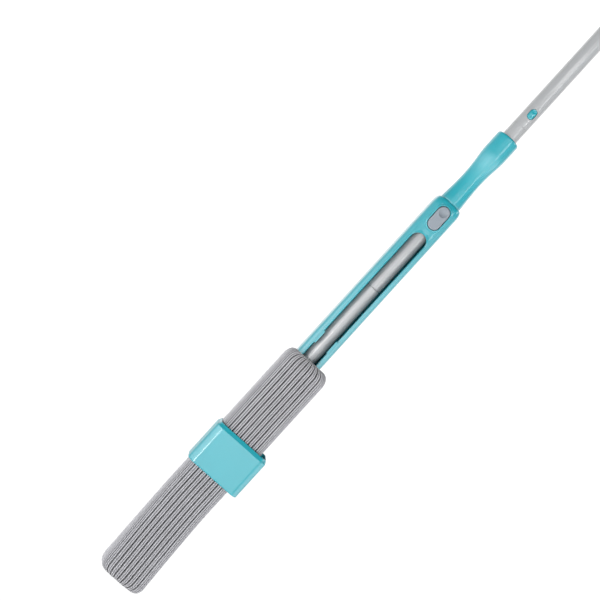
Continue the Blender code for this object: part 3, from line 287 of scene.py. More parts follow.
@dataclass(frozen=True)
class Finish:
    """A surface's finish.

    Attributes:
        name: The material's name.
        colour: Its linear base colour.
    """

    name: str
    colour: Colour

    def dress(self, graph: Graph) -> None:
        """Feed the shader of a material's graph, in the finish's own way."""
        raise NotImplementedError

    def material(self) -> bpy.types.Material:
        """Make the finish's material.

        Returns:
            The new material.
        """
        graph = Graph(bpy.data.materials.new(self.name))
        self.dress(graph)
        return graph.owner


@dataclass(frozen=True)
class MouldedPlastic(Finish):
    """Injection-moulded plastic: a fine spark texture, soft flow marks and faint rubbing.

    Attributes:
        roughness: Middle roughness.
        gloss: Weight of the clear skin.
        spark: Depth of the mould's texture in metres.
        rubbing: How much the rubbed places vary in roughness.
        matting: How much rougher a fully matt place is.
    """

    roughness: float = 0.36
    gloss: float = 0.15
    spark: float = 0.00003
    rubbing: float = 0.1
    matting: float = 0.45

    def dress(self, graph: Graph) -> None:
        """Feed the shader of a material's graph.

        Args:
            graph: The graph.
        """
        flow = graph.noise(14.0, 2.0)
        grain = graph.noise(2600.0, 2.0)
        rubs = graph.noise(60.0, 4.0, (1.0, 1.0, 0.35))
        matt = graph.attribute("matt")
        stops = [(0.3, shade(self.colour, 0.94)), (0.55, self.colour), (0.75, shade(self.colour, 1.05))]
        smooth = self.roughness - self.rubbing / 2
        graph.set(Base_Color=graph.ramp(flow, stops), IOR=1.49, Coat_Roughness=0.2,
                  Coat_Weight=(1.0 - matt) * self.gloss, Normal=graph.bump(grain, self.spark, 0.2),
                  Roughness=rubs * self.rubbing + smooth + grain * 0.02 + matt * self.matting)


@dataclass(frozen=True)
class PaintedSteel(Finish):
    """Silver paint on drawn tube: fine flakes in a clear coat, with the draw lines just showing.

    Attributes:
        roughness: Middle roughness.
        line_depth: Depth of the draw lines in metres.
    """

    roughness: float = 0.3
    line_depth: float = 0.00001

    def dress(self, graph: Graph) -> None:
        """Feed the shader of a material's graph.

        Args:
            graph: The graph.
        """
        flake = graph.cells(4200.0)
        lines = graph.noise(900.0, 3.0, (1.0, 1.0, 0.012))
        smears = graph.noise(40.0, 3.0, (1.0, 1.0, 0.3))
        stops = [(0.0, shade(self.colour, 1.1)), (0.6, self.colour), (1.0, shade(self.colour, 0.86))]
        graph.set(Base_Color=graph.ramp(flake, stops), Metallic=0.1, Coat_Weight=0.6, Coat_Roughness=0.06,
                  Roughness=self.roughness + (smears - 0.5) * 0.06 + (lines - 0.5) * 0.03,
                  Normal=graph.bump(lines, self.line_depth, 0.15))


@dataclass(frozen=True)
class BrightSteel(Finish):
    """Zinc-plated steel: bright, with a cloudy grain and turning marks.

    Attributes:
        mark_depth: Depth of the turning marks in metres.
    """

    mark_depth: float = 0.00003

    def dress(self, graph: Graph) -> None:
        """Feed the shader of a material's graph.

        Args:
            graph: The graph.
        """
        clouds = graph.noise(300.0, 4.0)
        marks = graph.noise(3000.0, 2.0, (1.0, 0.05, 1.0))
        stops = [(0.3, shade(self.colour, 0.86)), (0.7, self.colour)]
        graph.set(Base_Color=graph.ramp(clouds, stops), Metallic=1.0, Roughness=clouds * 0.2 + 0.18,
                  Normal=graph.bump(marks, self.mark_depth, 0.3))


@dataclass(frozen=True)
class BrakeRubber(Finish):
    """Moulded rubber: dark, matt and slightly dusty.

    Attributes:
        grain_depth: Depth of its grain in metres.
    """

    grain_depth: float = 0.0001

    def dress(self, graph: Graph) -> None:
        """Feed the shader of a material's graph.

        Args:
            graph: The graph.
        """
        dust = graph.noise(500.0, 4.0)
        stops = [(0.4, self.colour), (0.8, shade(self.colour, 2.2))]
        graph.set(Base_Color=graph.ramp(dust, stops), Roughness=dust * 0.2 + 0.6,
                  Normal=graph.bump(dust, self.grain_depth, 0.4))


@dataclass(frozen=True)
class SpongeFoam(Finish):
    """Dry foam: open pores, a felted bloom and painted shade in the channels.

    Attributes:
        channel: Colour of the painted shade at the bottom of a channel.
        pore_depth: Depth of the pores in metres.
    """

    channel: Colour
    pore_depth: float = 0.0002

    def dress(self, graph: Graph) -> None:
        """Feed the shader of a material's graph.

        Args:
            graph: The graph.
        """
        pores = graph.cells(1500.0)
        fine = graph.noise(2400.0, 4.0)
        patches = graph.noise(45.0, 3.0)
        # Painted shade in the channels from the mesh's mask, with patches and fine grain of tone over it.
        level = graph.attribute("channel_depth") + (patches - 0.5) * 0.08 + (fine - 0.5) * 0.02
        middle = tuple((a + b) / 2 for a, b in zip(self.colour, self.channel))
        stops = [(0.0, self.colour), (0.45, middle), (1.0, self.channel)]
        relief = fine * 0.5 + (1.0 - pores) * 0.5
        graph.set(Base_Color=graph.ramp(level, stops), Roughness=0.92, Sheen_Weight=0.35, Sheen_Roughness=0.5,
                  Normal=graph.bump(relief, self.pore_depth, 0.1))


@dataclass(frozen=True)
class StudioPaper(Finish):
    """Seamless white paper with a barely visible tooth and a painted glow that is brighter on its wall side
    than in front.

    Attributes:
        near: Its glow in front of the mop.
        far: Its glow behind the mop.
    """

    near: float
    far: float

    def dress(self, graph: Graph) -> None:
        """Feed the shader of a material's graph.

        Args:
            graph: The graph.
        """
        stops = [(0.3, shade(self.colour, 0.99)), (0.7, self.colour)]
        # Painted glow: the paper shines of itself, more behind the mop than in front of it.
        glow = graph.ramp(graph.place("Y") * 0.8 + 0.4, [(0.1, (self.near,) * 3), (0.9, (self.far,) * 3)])
        graph.set(Base_Color=graph.ramp(graph.noise(300.0, 3.0), stops), Roughness=0.95, Emission_Color=glow,
                  Emission_Strength=1.0)


FINISHES = {
    Slot.TURQUOISE: MouldedPlastic("turquoise_moulding", (0.014, 0.325, 0.390), 0.30, 1.0),
    Slot.STEEL: PaintedSteel("silver_pole_paint", (0.375, 0.385, 0.395)),
    Slot.BRIGHT: BrightSteel("zinc_plating", (0.70, 0.70, 0.72)),
    Slot.GREY: MouldedPlastic("grey_moulding", (0.235, 0.27, 0.31), 0.42, 0.15),
    Slot.PALE: MouldedPlastic("pale_moulding", (0.62, 0.68, 0.70), 0.45, 0.0),
    Slot.RUBBER: BrakeRubber("brake_rubber", (0.035, 0.037, 0.04)),
    # The foam's second colour is the painted shade at the bottoms of its channels.
    Slot.SPONGE: SpongeFoam("grey_foam", (0.46, 0.46, 0.487), (0.03, 0.03, 0.036)),
}
PAPER = StudioPaper("studio_paper", (0.30, 0.30, 0.30), 0.4, 0.86)


@cache
def finish_of(slot: Slot) -> bpy.types.Material:
    """The material of a slot, made once."""
    return FINISHES[slot].material()


def polar(centre: Pair, radius: float, degrees: float) -> Pair:
    """The point at a radius and an angle from a centre."""
    angle = math.radians(degrees)
    return centre[0] + radius * math.cos(angle), centre[1] + radius * math.sin(angle)


def arc(centre: Pair, radius: float, start: float, end: float, steps: int) -> list[Pair]:
    """Points on an arc, both ends included, angles in degrees."""
    return [polar(centre, radius, start + (end - start) * step / steps) for step in range(steps + 1)]


def circle(radius: float, count: int, centre: Pair = (0.0, 0.0)) -> list[Pair]:
    """A number of points spread evenly round a circle."""
    return arc(centre, radius, 0.0, 360.0 - 360.0 / count, count - 1)


def quarter(size: Pair, steps: int) -> list[Pair]:
    """The run and rise of a quarter ellipse, from its side (0, 0) to its top (size)."""
    angles = (math.pi / 2 * step / steps for step in range(steps + 1))
    return [(size[0] * (1 - math.cos(angle)), size[1] * math.sin(angle)) for angle in angles]


def rounded_box(half: Pair, corner: float, inset: float, steps: int = 12) -> list[Pair]:
    """A rectangle about the axis with round corners.

    Args:
        half: Half its width and half its depth.
        corner: Radius of its corners.
        inset: How far the outline is drawn in.
        steps: Steps round a corner.

    Returns:
        The outline.
    """
    points: list[Pair] = []
    for sign_x, sign_y, start in ((1, 1, 0.0), (-1, 1, 90.0), (-1, -1, 180.0), (1, -1, 270.0)):
        centre = (sign_x * (half[0] - corner), sign_y * (half[1] - corner))
        points += arc(centre, corner - inset, start, start + 90.0, steps)
    return points


def stadium(width: float, length: float, steps: int = 20) -> list[Pair]:
    """The outline of a slot that is longer in its second direction.

    Args:
        width: Its width.
        length: Its length with the round ends.
        steps: Steps round an end.

    Returns:
        The outline.
    """
    straight = (length - width) / 2
    upper = arc((0.0, straight), width / 2, 0.0, 180.0, steps)
    return upper + arc((0.0, -straight), width / 2, 180.0, 360.0, steps)


def level_loop(points: Iterable[Pair], height: float) -> Loop:
    """A loop laid level at a height."""
    return [Vector((x * MM, y * MM, world(height))) for x, y in points]


def upright_loop(points: Iterable[Pair], depth: float, height: float) -> Loop:
    """A loop in width and height, stood up at a depth and about a height."""
    return [Vector((x * MM, -depth * MM, world(height + y))) for x, y in points]


def finished(work: bmesh.types.BMesh, name: str) -> bpy.types.Mesh:
    """Turn a working mesh into a kept one.

    Args:
        work: The working mesh, which is freed.
        name: The kept mesh's name.

    Returns:
        The kept mesh.
    """
    mesh = bpy.data.meshes.new(name)
    work.to_mesh(mesh)
    work.free()
    return mesh


def loft(name: str, loops: Sequence[Loop], joined: bool = False) -> bpy.types.Mesh:
    """Skin loops of equal count.

    Args:
        name: The mesh's name.
        loops: The loops, each with the same number of points.
        joined: Whether the last loop meets the first, as on a ring; if not, both ends are filled.

    Returns:
        The closed mesh, its faces pointing out.
    """
    work = bmesh.new()
    rows = [[work.verts.new(point) for point in loop] for loop in loops]
    pairs = list(zip(rows, rows[1:])) + ([(rows[-1], rows[0])] if joined else [])
    for lower, upper in pairs:
        for index, vert in enumerate(lower):
            after = (index + 1) % len(lower)
            work.faces.new((vert, lower[after], upper[after], upper[index]))
    if not joined:
        work.faces.new(list(reversed(rows[0])))
        work.faces.new(rows[-1])
    bmesh.ops.recalc_face_normals(work, faces=work.faces)
    return finished(work, name)


def turned(name: str, profile: Sequence[Pair], steps: int = 96) -> bpy.types.Mesh:
    """Turn a closed profile of radius and height about the pole's axis."""
    return loft(name, [level_loop(circle(radius, steps), height) for radius, height in profile], joined=True)


def box(name: str, across: Pair, depth: Pair, height: Pair) -> bpy.types.Mesh:
    """A box.

    Args:
        name: The mesh's name.
        across: The places of two sides, right of the pole's axis.
        depth: The depths of its back and front.
        height: The heights of its foot and top.

    Returns:
        The mesh.
    """
    low = (min(across) * MM, -max(depth) * MM, world(min(height)))
    high = (max(across) * MM, -min(depth) * MM, world(max(height)))
    work = bmesh.new()
    bmesh.ops.create_cube(work, size=1.0)
    size = Matrix.Diagonal((*(b - a for a, b in zip(low, high)), 1.0))
    place = Matrix.Translation([(a + b) / 2 for a, b in zip(low, high)])
    bmesh.ops.transform(work, matrix=place @ size, verts=work.verts)
    return finished(work, name)


class Cut(Enum):
    """What a tool does to a piece."""

    AWAY = "DIFFERENCE"
    ON = "UNION"


Tool = tuple[Cut, bpy.types.Mesh]


def added(name: str, data: bpy.types.ID) -> bpy.types.Object:
    """Add an object to the scene.

    Args:
        name: Its name.
        data: Its mesh, light or camera.

    Returns:
        The object.
    """
    made = bpy.data.objects.new(name, data)
    bpy.context.scene.collection.objects.link(made)
    return made


def worked(mesh: bpy.types.Mesh, tools: Sequence[Tool]) -> bpy.types.Mesh:
    """Work a mesh with tools in order.

    Args:
        mesh: The blank.
        tools: What each tool does, and its mesh.

    Returns:
        The finished mesh.
    """
    blank = added("blank", mesh)
    helpers = []
    for cut, tool in tools:
        helper = added("tool", tool)
        step = blank.modifiers.new("work", "BOOLEAN")
        step.operation = cut.value
        step.object = helper
        step.solver = "EXACT"
        helpers.append(helper)
    evaluated = blank.evaluated_get(bpy.context.evaluated_depsgraph_get())
    result = bpy.data.meshes.new_from_object(evaluated)
    for spent in (blank, *helpers):
        bpy.data.objects.remove(spent, do_unlink=True)
    return result


def shaded(mesh: bpy.types.Mesh, angle: float = 34.0) -> bpy.types.Mesh:
    """Shade a mesh smooth except at sharp edges.

    Args:
        mesh: The mesh.
        angle: The angle in degrees from which an edge stays sharp.

    Returns:
        The same mesh.
    """
    mesh.shade_smooth()
    mesh.set_sharp_from_angle(angle=math.radians(angle))
    return mesh


def store(mesh: bpy.types.Mesh, name: str, values: Sequence[float]) -> None:
    """Store a number for each point of a mesh, for its finish to read."""
    mesh.attributes.new(name, "FLOAT", "POINT").data.foreach_set("value", values)


def even_shading(made: bpy.types.Object) -> None:
    """Let a piece's large faces lead its shading, so long flats and tubes stay even to their ends.

    Args:
        made: The piece.
    """
    normals = made.modifiers.new("even_shading", "WEIGHTED_NORMAL")
    normals.weight = 60
    normals.keep_sharp = True


def soften_edges(made: bpy.types.Object, width: float, segments: int = 2, angle: float = 34.0) -> None:
    """Round a piece's hard edges, and keep its flats flat in shading.

    Args:
        made: The piece.
        width: The rounding in millimetres.
        segments: Steps across the rounding.
        angle: Edges sharper than this are rounded, in degrees.
    """
    bevel = made.modifiers.new("edge_rounding", "BEVEL")
    bevel.width = width * MM
    bevel.segments = segments
    bevel.angle_limit = math.radians(angle)
    bevel.use_clamp_overlap = True
    bevel.miter_outer = "MITER_ARC"
    even_shading(made)


def piece(name: str, mesh: bpy.types.Mesh, slot: Slot, body: Body, *nodes: str) -> bpy.types.Object:
    """Add a visible piece to the mop.

    Args:
        name: The piece's name.
        mesh: Its mesh, in world metres.
        slot: The material slot it takes its finish from.
        body: The body it rides on.
        nodes: The plain solids it stands for.

    Returns:
        The piece.
    """
    made = added(name, mesh)
    mesh.materials.clear()
    mesh.materials.append(finish_of(slot))
    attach(made, body.value)
    if nodes:
        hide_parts(*nodes)
    LOG.info("%s: %d faces", name, len(mesh.polygons))
    return made


@dataclass(frozen=True)
class Channel:
    """The section of a channel in the foam, which fades out to both sides.

    Attributes:
        depth: Its depth in the middle.
        half: Distance from the middle at which it is a quarter as deep.
    """

    depth: float
    half: float

    def at(self, offset: float) -> float:
        """Its depth at a distance from its middle."""
        return self.depth / (1 + (offset / self.half) ** 2) ** 2


@dataclass
class SpongePad:
    """The ribbed foam pad: a crowned bar with deep channels along it and shallow ones between them.

    Attributes:
        bottom: Height of its lower end.
        back: Depth of its back face, and `front` that of its crown.
        dome: How far the face falls from the crown to the shoulders, whose radius is `shoulder`.
        rim: How far the back face stops short of the sides.
        channels: How many half pitches the channels reach to each side; the odd ones are deep.
        edge: The outermost deep channel.
        side_lines: Where the fine lines are, measured over the face from its middle.
        full_shade: Channel depth at which the painted shade is full.
        end_length: Length of the round ends, where the sides come in by `end_inset` and the crown by
            `end_round`.
        lean_length: Height over which the foam leans right, by `lean_reach` at most and by `lean_back` of it
            behind.
        sag: How often and how far the surface sags, and `sway` how often and how far the ribs stray.
    """

    length: float = 329.0
    bottom: float = -4.0
    half_width: float = 29.0
    back: float = 22.8
    front: float = 48.8
    dome: float = 2.2
    shoulder: float = 7.5
    rim: float = 0.6
    pitch: float = 5.75
    channels: int = 8
    deep: Channel = Channel(4.9, 0.86)
    edge: Channel = Channel(3.6, 0.86)
    shallow: Channel = Channel(1.9, 0.55)
    fine: Channel = Channel(2.3, 0.7)
    side_lines: tuple[float, ...] = (25.5, 28.0, 30.6, 33.4, 36.4, 39.4, 42.6)
    full_shade: float = 3.4
    end_length: float = 13.0
    end_inset: float = 8.0
    end_round: float = 9.0
    lean_length: float = 120.0
    lean_reach: float = 5.4
    lean_power: float = 1.3
    lean_back: float = 0.35
    sag: Pair = (0.055, 0.28)
    sag_margin: float = 2.0
    sway: Pair = (0.02, 0.35)
    sway_seed: float = 7.0
    face_steps: int = 420
    end_steps: int = 14
    steps: int = 70

    def channel(self, along: float) -> float:
        """Depth of the channels.

        Args:
            along: Distance from the pad's middle, measured over its face.

        Returns:
            How far the face is drawn in.
        """
        depth = 0.0
        for index in range(-self.channels, self.channels + 1):
            deep = self.deep if abs(index) < self.channels - 1 else self.edge
            depth += (deep if index % 2 else self.shallow).at(along - index * self.pitch / 2)
        return depth + sum(self.fine.at(abs(along) - line) for line in self.side_lines)

    def outline(self, inset_side: float, inset_front: float) -> list[tuple[float, float, float]]:
        """The outline at one height.

        Args:
            inset_side: How far each side is drawn in.
            inset_front: How far the crown is drawn back.

        Returns:
            Width, depth and channel depth of each point, round the outline from the back's right edge.
        """
        radius = self.shoulder
        front = self.front - inset_front
        flat = self.half_width - inset_side - radius
        full_flat = self.half_width - radius
        low = front - self.dome - radius
        bend = full_flat + radius * math.pi / 2
        reach = bend + low - self.back - self.rim
        across = []
        for step in range(self.face_steps + 1):
            along = reach - 2 * reach * step / self.face_steps
            sign = 1.0 if along >= 0 else -1.0
            if abs(along) <= full_flat:
                x = along * flat / full_flat
                y = front - self.dome * (along / full_flat) ** 2
                normal = (0.0, 1.0)
            else:
                turn = math.pi / 2 - (min(abs(along), bend) - full_flat) / radius
                x = sign * (flat + radius * math.cos(turn))
                y = low + radius * math.sin(turn) - max(0.0, abs(along) - bend)
                normal = (sign * math.cos(turn), math.sin(turn))
            depth = self.channel(along)
            across.append((x - normal[0] * depth, y - normal[1] * depth, depth))
        edge = flat + radius - self.rim
        return [(edge, self.back, 0.0), *across, (-edge, self.back, 0.0)]

    def stations(self) -> list[Pair]:
        """Set out the sections that the pad is skinned over.

        Returns:
            Heights along the pad, and how much of its full section each has.
        """
        ends = quarter((self.end_length, 1.0), self.end_steps)
        middle = self.length - 2 * self.end_length
        inner = [(self.end_length + middle * step / self.steps, 1.0) for step in range(1, self.steps)]
        return ends + inner + [(self.length - height, full) for height, full in reversed(ends)]

    def lean(self, forward: float, height: float) -> float:
        """How far a point leans to the right.

        Args:
            forward: Its share of the way from back to crown.
            height: Its height above the pad's lower end.

        Returns:
            The distance.
        """
        low = max(0.0, 1.0 - height / self.lean_length)
        share = self.lean_back + (1.0 - self.lean_back) * math.sqrt(max(0.0, forward))
        return self.lean_reach * low ** self.lean_power * share

    def settled(self, x: float, y: float, height: float) -> Vector:
        """Where a point of the bar lies in the soft foam.

        Args:
            x: Its place across.
            y: Its depth.
            height: Its height above the pad's lower end.

        Returns:
            Its place in world metres.
        """
        sag = abs(noise.noise(Vector((x, -y, height)) * self.sag[0])) * self.sag[1]
        grain, reach = self.sway
        sway = noise.noise(Vector((x * grain, self.sway_seed, height * grain))) * reach
        x += sway * (1.0 - (x / self.half_width) ** 2)
        x += self.lean((y - self.back) / (self.front - self.back), height)
        y -= sag if y > self.back + self.sag_margin else 0.0
        return Vector((x * MM, -y * MM, world(self.bottom + height)))

    def build(self) -> None:
        """Make the pad."""
        loops: list[Loop] = []
        shades: list[float] = []
        for height, full in self.stations():
            outline = self.outline(self.end_inset * (1.0 - full), self.end_round * (1.0 - full))
            loops.append([self.settled(x, y, height) for x, y, _ in outline])
            # Painted shade for each point: stronger the deeper its channel.
            shades += [min(1.0, depth / self.full_shade) for _, _, depth in outline]
        mesh = loft("sponge", loops)
        store(mesh, "channel_depth", shades)
        pad = piece("ribbed_sponge", shaded(mesh, 60.0), Slot.SPONGE, Body.POLE, "sponge_pad")


@dataclass
class WringerRing:
    """The ring round the sponge, with the channel that carries it on the pole.

    Attributes:
        outer: Left, right, front and back of its outside, and `cavity` those of its inside.
        bore: Radius of the pole's bore, which a mouth, `mouth` wide to each side, opens to the cavity.
        lip: Rounding of the mouth, and `fillet` that of the corner between ring and channel.
        foot: Rounding of the outer foot, and `rim` that of the cavity's edges.
        bevel: How far the ring is drawn in over its shoulder, and the shoulder's height.
        rises: The shoulder's profile: heights above its foot, and how far each is drawn in.
        top_draw: How far the top face's edge is drawn in past the bevel, on the ring and on the channel.
        matt_reach: How far from the flanks the half-matt skin ends, and `matt_most` how matt they are.
    """

    outer: tuple[float, float, float, float] = (-32.5, 38.7, -54.1, -13.65)
    cavity: tuple[float, float, float, float] = (-29.5, 35.7, -51.1, -16.65)
    corner: float = 9.0
    cavity_corner: float = 4.0
    bore: float = 11.8
    mouth: float = 10.0
    lip: float = 1.0
    fillet: float = 2.0
    foot: float = 1.0
    rim: float = 0.3
    bevel: Pair = (2.4, 4.4)
    rises: tuple[Pair, ...] = ((-1.6, 0.0), (-0.5, 0.0), (-0.2, 0.03), (0.1, 0.12), (0.4, 0.27), (1.2, 0.7),
                               (3.2, 1.78), (3.9, 2.17), (4.2, 2.4))
    top_draw: Pair = (0.25, 0.1)
    matt_reach: float = 3.0
    matt_most: float = 0.5
    steps: int = 20
    fillet_steps: int = 6

    def _corners(self, sides: tuple[float, ...], corner: float, radius: float) -> list[list[Pair]]:
        """The round corners of a rectangle.

        Args:
            sides: Its left, right, front and back.
            corner: How far in from two sides a corner's centre is.
            radius: Radius of the corners.

        Returns:
            The left front, right front, right back and left back corner.
        """
        left, right, front, back = sides
        centres = ((left + corner, front + corner), (right - corner, front + corner),
                   (right - corner, back - corner), (left + corner, back - corner))
        starts = (180.0, 270.0, 0.0, 90.0)
        return [arc(centre, radius, start, start + 90.0, self.steps)
                for centre, start in zip(centres, starts)]

    def _fillet(self, sign: float, start: float, end: float, first: float, last: float) -> list[Pair]:
        """The hollow corner between ring and channel.

        Args:
            sign: 1 for the right one, -1 for the left one.
            start: The angle it starts at, in degrees.
            end: The angle it ends at.
            first: The inset it starts with.
            last: The inset it ends with.

        Returns:
            The points.
        """
        centre = (sign * (CHANNEL_HALF[0] + self.fillet), self.outer[3] + self.fillet)
        shares = [step / self.fillet_steps for step in range(self.fillet_steps + 1)]
        return [polar(centre, self.fillet + first + (last - first) * share, start + (end - start) * share)
                for share in shares]

    def outside(self, inset: float, channel_inset: float) -> list[Pair]:
        """The outer outline.

        Args:
            inset: How far the ring is drawn in.
            channel_inset: How far its channel is drawn in.

        Returns:
            The outline.
        """
        corners = self._corners(self.outer, self.corner, self.corner - inset)
        left_front, right_front, right_back, left_back = corners
        across, behind = (half - CHANNEL_CORNER for half in CHANNEL_HALF)
        radius = CHANNEL_CORNER - channel_inset
        return [*left_front, *right_front, *right_back,
                *self._fillet(1.0, 270.0, 180.0, inset, channel_inset),
                *arc((across, behind), radius, 0.0, 90.0, self.steps),
                *arc((-across, behind), radius, 90.0, 180.0, self.steps),
                *self._fillet(-1.0, 0.0, -90.0, channel_inset, inset), *left_back]

    def inside(self, outset: float) -> list[Pair]:
        """The inner outline: the cavity, the mouth and the bore.

        Args:
            outset: How far it is widened.

        Returns:
            The outline.
        """
        corners = self._corners(self.cavity, self.cavity_corner, self.cavity_corner + outset)
        left_front, right_front, right_back, left_back = corners
        bore, middle = self.bore + outset, (0.0, 0.0)
        low = -math.degrees(math.acos((self.mouth + outset) / bore))
        across, behind = self.mouth + self.lip, self.cavity[3] + self.lip
        radius, steps = self.lip - outset, self.fillet_steps
        return [*left_front, *right_front, *right_back, *arc((across, behind), radius, 270.0, 180.0, steps),
                *arc(middle, bore, low, 90.0, self.steps), *arc(middle, bore, 90.0, 180.0 - low, self.steps),
                *arc((-across, behind), radius, 0.0, -90.0, steps), *left_back]

    def build(self) -> None:
        """Make the ring."""
        bottom, foot, rim = CARRIAGE_HEIGHT, self.foot, self.rim
        top = bottom + RING_HEIGHT
        inset, drop = self.bevel
        loops = [level_loop(self.outside(foot - rise, foot - rise), bottom + run)
                 for run, rise in quarter((foot, foot), 4)]
        loops.append(level_loop(self.outside(0.0, 0.0), bottom + 2 * foot))
        loops += [level_loop(self.outside(draw, 0.0), top - drop + rise) for rise, draw in self.rises]
        loops.append(level_loop(self.outside(inset + self.top_draw[0], self.top_draw[1]), top))
        edge = [(run, self.inside(rim - rise)) for run, rise in quarter((rim, rim), 3)]
        loops += [level_loop(outline, top - run) for run, outline in edge]
        loops += [level_loop(outline, bottom + run) for run, outline in reversed(edge)]
        mesh = loft("ring", loops, joined=True)
        left, right = self.outer[:2]
        sides = [max(left - point.co.x / MM, point.co.x / MM - right) for point in mesh.vertices]
        store(mesh, "matt", [self.matt_most * max(0.0, 1.0 + out / self.matt_reach) for out in sides])
        shell = shaded(mesh, 40.0)
        even_shading(piece("wringer_ring_shell", shell, Slot.TURQUOISE, Body.CARRIAGE, "wringer_ring"))


@dataclass
class HousingShells:
    """The slotted housing in two halves, with the raised lip of the release button.

    Attributes:
        foot: Bevel of its lower edge, and `edge` the rounding of all hard edges.
        seam: Half the gap between the halves.
        neck: Radius of the opening for the grip's neck.
        scoop: How much further up the slot's rim reaches outside, and `chamfer` how much wider it is.
        tab_bottom: Height of the foot of the two tabs that narrow the slot.
        window: Depths that the button's window is cut between, and `button_gap` its gap round the button.
        lip: The lip's profile: how far it stands out round the window, and in front of the housing.
        screws: Place across and heights of the screws that join the halves, and the depth of their seats.
        ring_screws: Place across, height and depth of seat of the screws to the ring.
        boss: Radius and depth of the screws' bosses, and `pocket` radius and depth of the pockets.
        pin_ribs: Inner and outer place of the ribs that hold the button's pin, their back's depth and their
            half height.
        shoulder: The top edge's profile: distances below the top, and how far each is drawn in.
    """

    wall: float = 2.5
    bottom: float = CARRIAGE_HEIGHT + RING_HEIGHT + SEAT_GAP
    top: float = HOUSING_TOP
    foot: float = 0.35
    edge: float = 0.3
    seam: float = 0.15
    top_plate: float = 2.4
    neck: float = 12.3
    slot_half: float = 10.0
    slot_top: float = 517.4
    slot_below: float = 30.0
    chamfer: float = 2.1
    scoop: float = 3.2
    tab_bottom: float = 344.0
    tab_length: float = 17.0
    tab_reach: float = 1.4
    tab_thickness: float = 2.0
    button_gap: float = 0.7
    window: Pair = (9.5, 20.0)
    lip: tuple[Pair, ...] = ((2.2, -1.2), (2.1, -0.1), (1.7, 0.25), (1.3, 0.45), (0.9, 0.5), (0.2, 0.5))
    screws: tuple[float, tuple[float, ...], float] = (12.7, (256.0, 404.0, 552.0), 7.1)
    ring_screws: tuple[float, float, float] = (9.0, 219.3, 14.3)
    boss: Pair = (2.8, 10.2)
    pocket: Pair = (2.2, 25.0)
    pin_height: float = 538.0
    pin_ribs: tuple[float, float, float, float] = (8.4, 12.0, 9.9, 2.2)
    rib_root: float = 1.2
    shoulder: tuple[Pair, ...] = ((11.0, 0.0), (8.0, 0.12), (5.0, 0.5), (3.2, 0.95), (1.8, 1.5), (0.9, 2.1),
                                  (0.3, 2.8), (0.0, 3.6))
    half_space: float = 40.0

    def _loop(self, inset: float, height: float) -> Loop:
        """The housing's outline, drawn in by an inset, at a height."""
        return level_loop(rounded_box(CHANNEL_HALF, CHANNEL_CORNER, inset), height)

    def _blank(self) -> bpy.types.Mesh:
        """The housing as one solid."""
        foot = [self._loop(self.foot, self.bottom), self._loop(0.0, self.bottom + self.foot)]
        return loft("housing", foot + [self._loop(inset, self.top - drop) for drop, inset in self.shoulder])

    def _hollow(self, in_front: bool) -> list[Tool]:
        """Tools that leave one half, hollow and open at its neck.

        Args:
            in_front: Whether the front half is left.

        Returns:
            The tools.
        """
        wide, below_plate = self.half_space, self.top - self.top_plate
        other = (-wide, self.seam) if in_front else (-self.seam, wide)
        half = box("half_space", (-wide, wide), other, (self.bottom - wide, self.top + wide))
        room = loft("room", [self._loop(self.wall, at) for at in (self.bottom - OVERCUT, below_plate)])
        ring = circle(self.neck, 72)
        neck = loft("neck", [level_loop(ring, at) for at in (below_plate - OVERCUT, self.top + OVERCUT)])
        return [(Cut.AWAY, half), (Cut.AWAY, room), (Cut.AWAY, neck)]

    def _slot(self) -> Tool:
        """Shape the slot, with a bevelled rim that is scooped at its top.

        Returns:
            The tool that cuts it.
        """
        low, depth = self.bottom - self.slot_below, CHANNEL_HALF[1]
        rims = ((0.0, 0.0, 0.0), (0.0, 0.0, depth - self.chamfer), (self.chamfer, self.scoop, depth),
                (self.chamfer, self.scoop, depth + OVERCUT))
        loops = []
        for grow, rise, at in rims:
            top = self.slot_top + rise
            loops.append(upright_loop(stadium(2 * (self.slot_half + grow), top - low), at, (low + top) / 2))
        return Cut.AWAY, loft("slot", loops)

    def _button_seat(self) -> list[Tool]:
        """Shape the release button's lip and window.

        Returns:
            The tools.
        """
        width, length = (size + 2 * self.button_gap for size in BUTTON_SIZE)
        depth = CHANNEL_HALF[1]
        lip = [upright_loop(stadium(width + 2 * grow, length + 2 * grow), depth + proud, BUTTON_HEIGHT)
               for grow, proud in self.lip]
        window = [upright_loop(stadium(width, length), at, BUTTON_HEIGHT) for at in self.window]
        return [(Cut.ON, loft("lip", lip)), (Cut.AWAY, loft("window", window))]

    def _pairs(self) -> list[list[Tool]]:
        """Shape the tabs and the ribs that hold the button's pin, one of each to a side.

        Returns:
            The tools of the tabs and those of the ribs.
        """
        depth = CHANNEL_HALF[1] - self.wall
        near, far, reach, half = self.pin_ribs
        tab_heights = (self.tab_bottom, self.tab_bottom + self.tab_length)
        tabs, ribs = [], []
        for sign in (-1.0, 1.0):
            sides = (sign * (self.slot_half - self.tab_reach), sign * (self.slot_half + self.chamfer))
            tabs.append((Cut.ON, box("tab", sides, (depth, depth + self.tab_thickness), tab_heights)))
            ribs.append((Cut.ON, box("pin_rib", (sign * near, sign * far), (reach, depth + self.rib_root),
                                     (self.pin_height - half, self.pin_height + half))))
        return [tabs, ribs]

    def _bosses(self, sign_depth: float) -> list[Tool]:
        """Shape the screw bosses of one half.

        Args:
            sign_depth: 1 for the half in front of the seam, -1 for the one behind it.

        Returns:
            The tools.
        """
        radius, far = self.boss
        places = [(sign * self.screws[0], height) for height in self.screws[1] for sign in (-1.0, 1.0)]
        return [(Cut.ON, loft("boss", [upright_loop(circle(radius, 24, (x, 0.0)), sign_depth * at, height)
                                       for at in (self.seam, far)])) for x, height in places]

    def _pockets(self) -> list[Tool]:
        """Shape the screw pockets of the back half.

        Returns:
            The tools.
        """
        radius, far = self.pocket
        places = [(self.screws[0], height, self.screws[2]) for height in self.screws[1]] + [self.ring_screws]
        return [(Cut.AWAY, loft("pocket", [upright_loop(circle(radius, 24, (sign * x, 0.0)), -at, height)
                                           for at in (near, far)]))
                for x, height, near in places for sign in (-1.0, 1.0)]

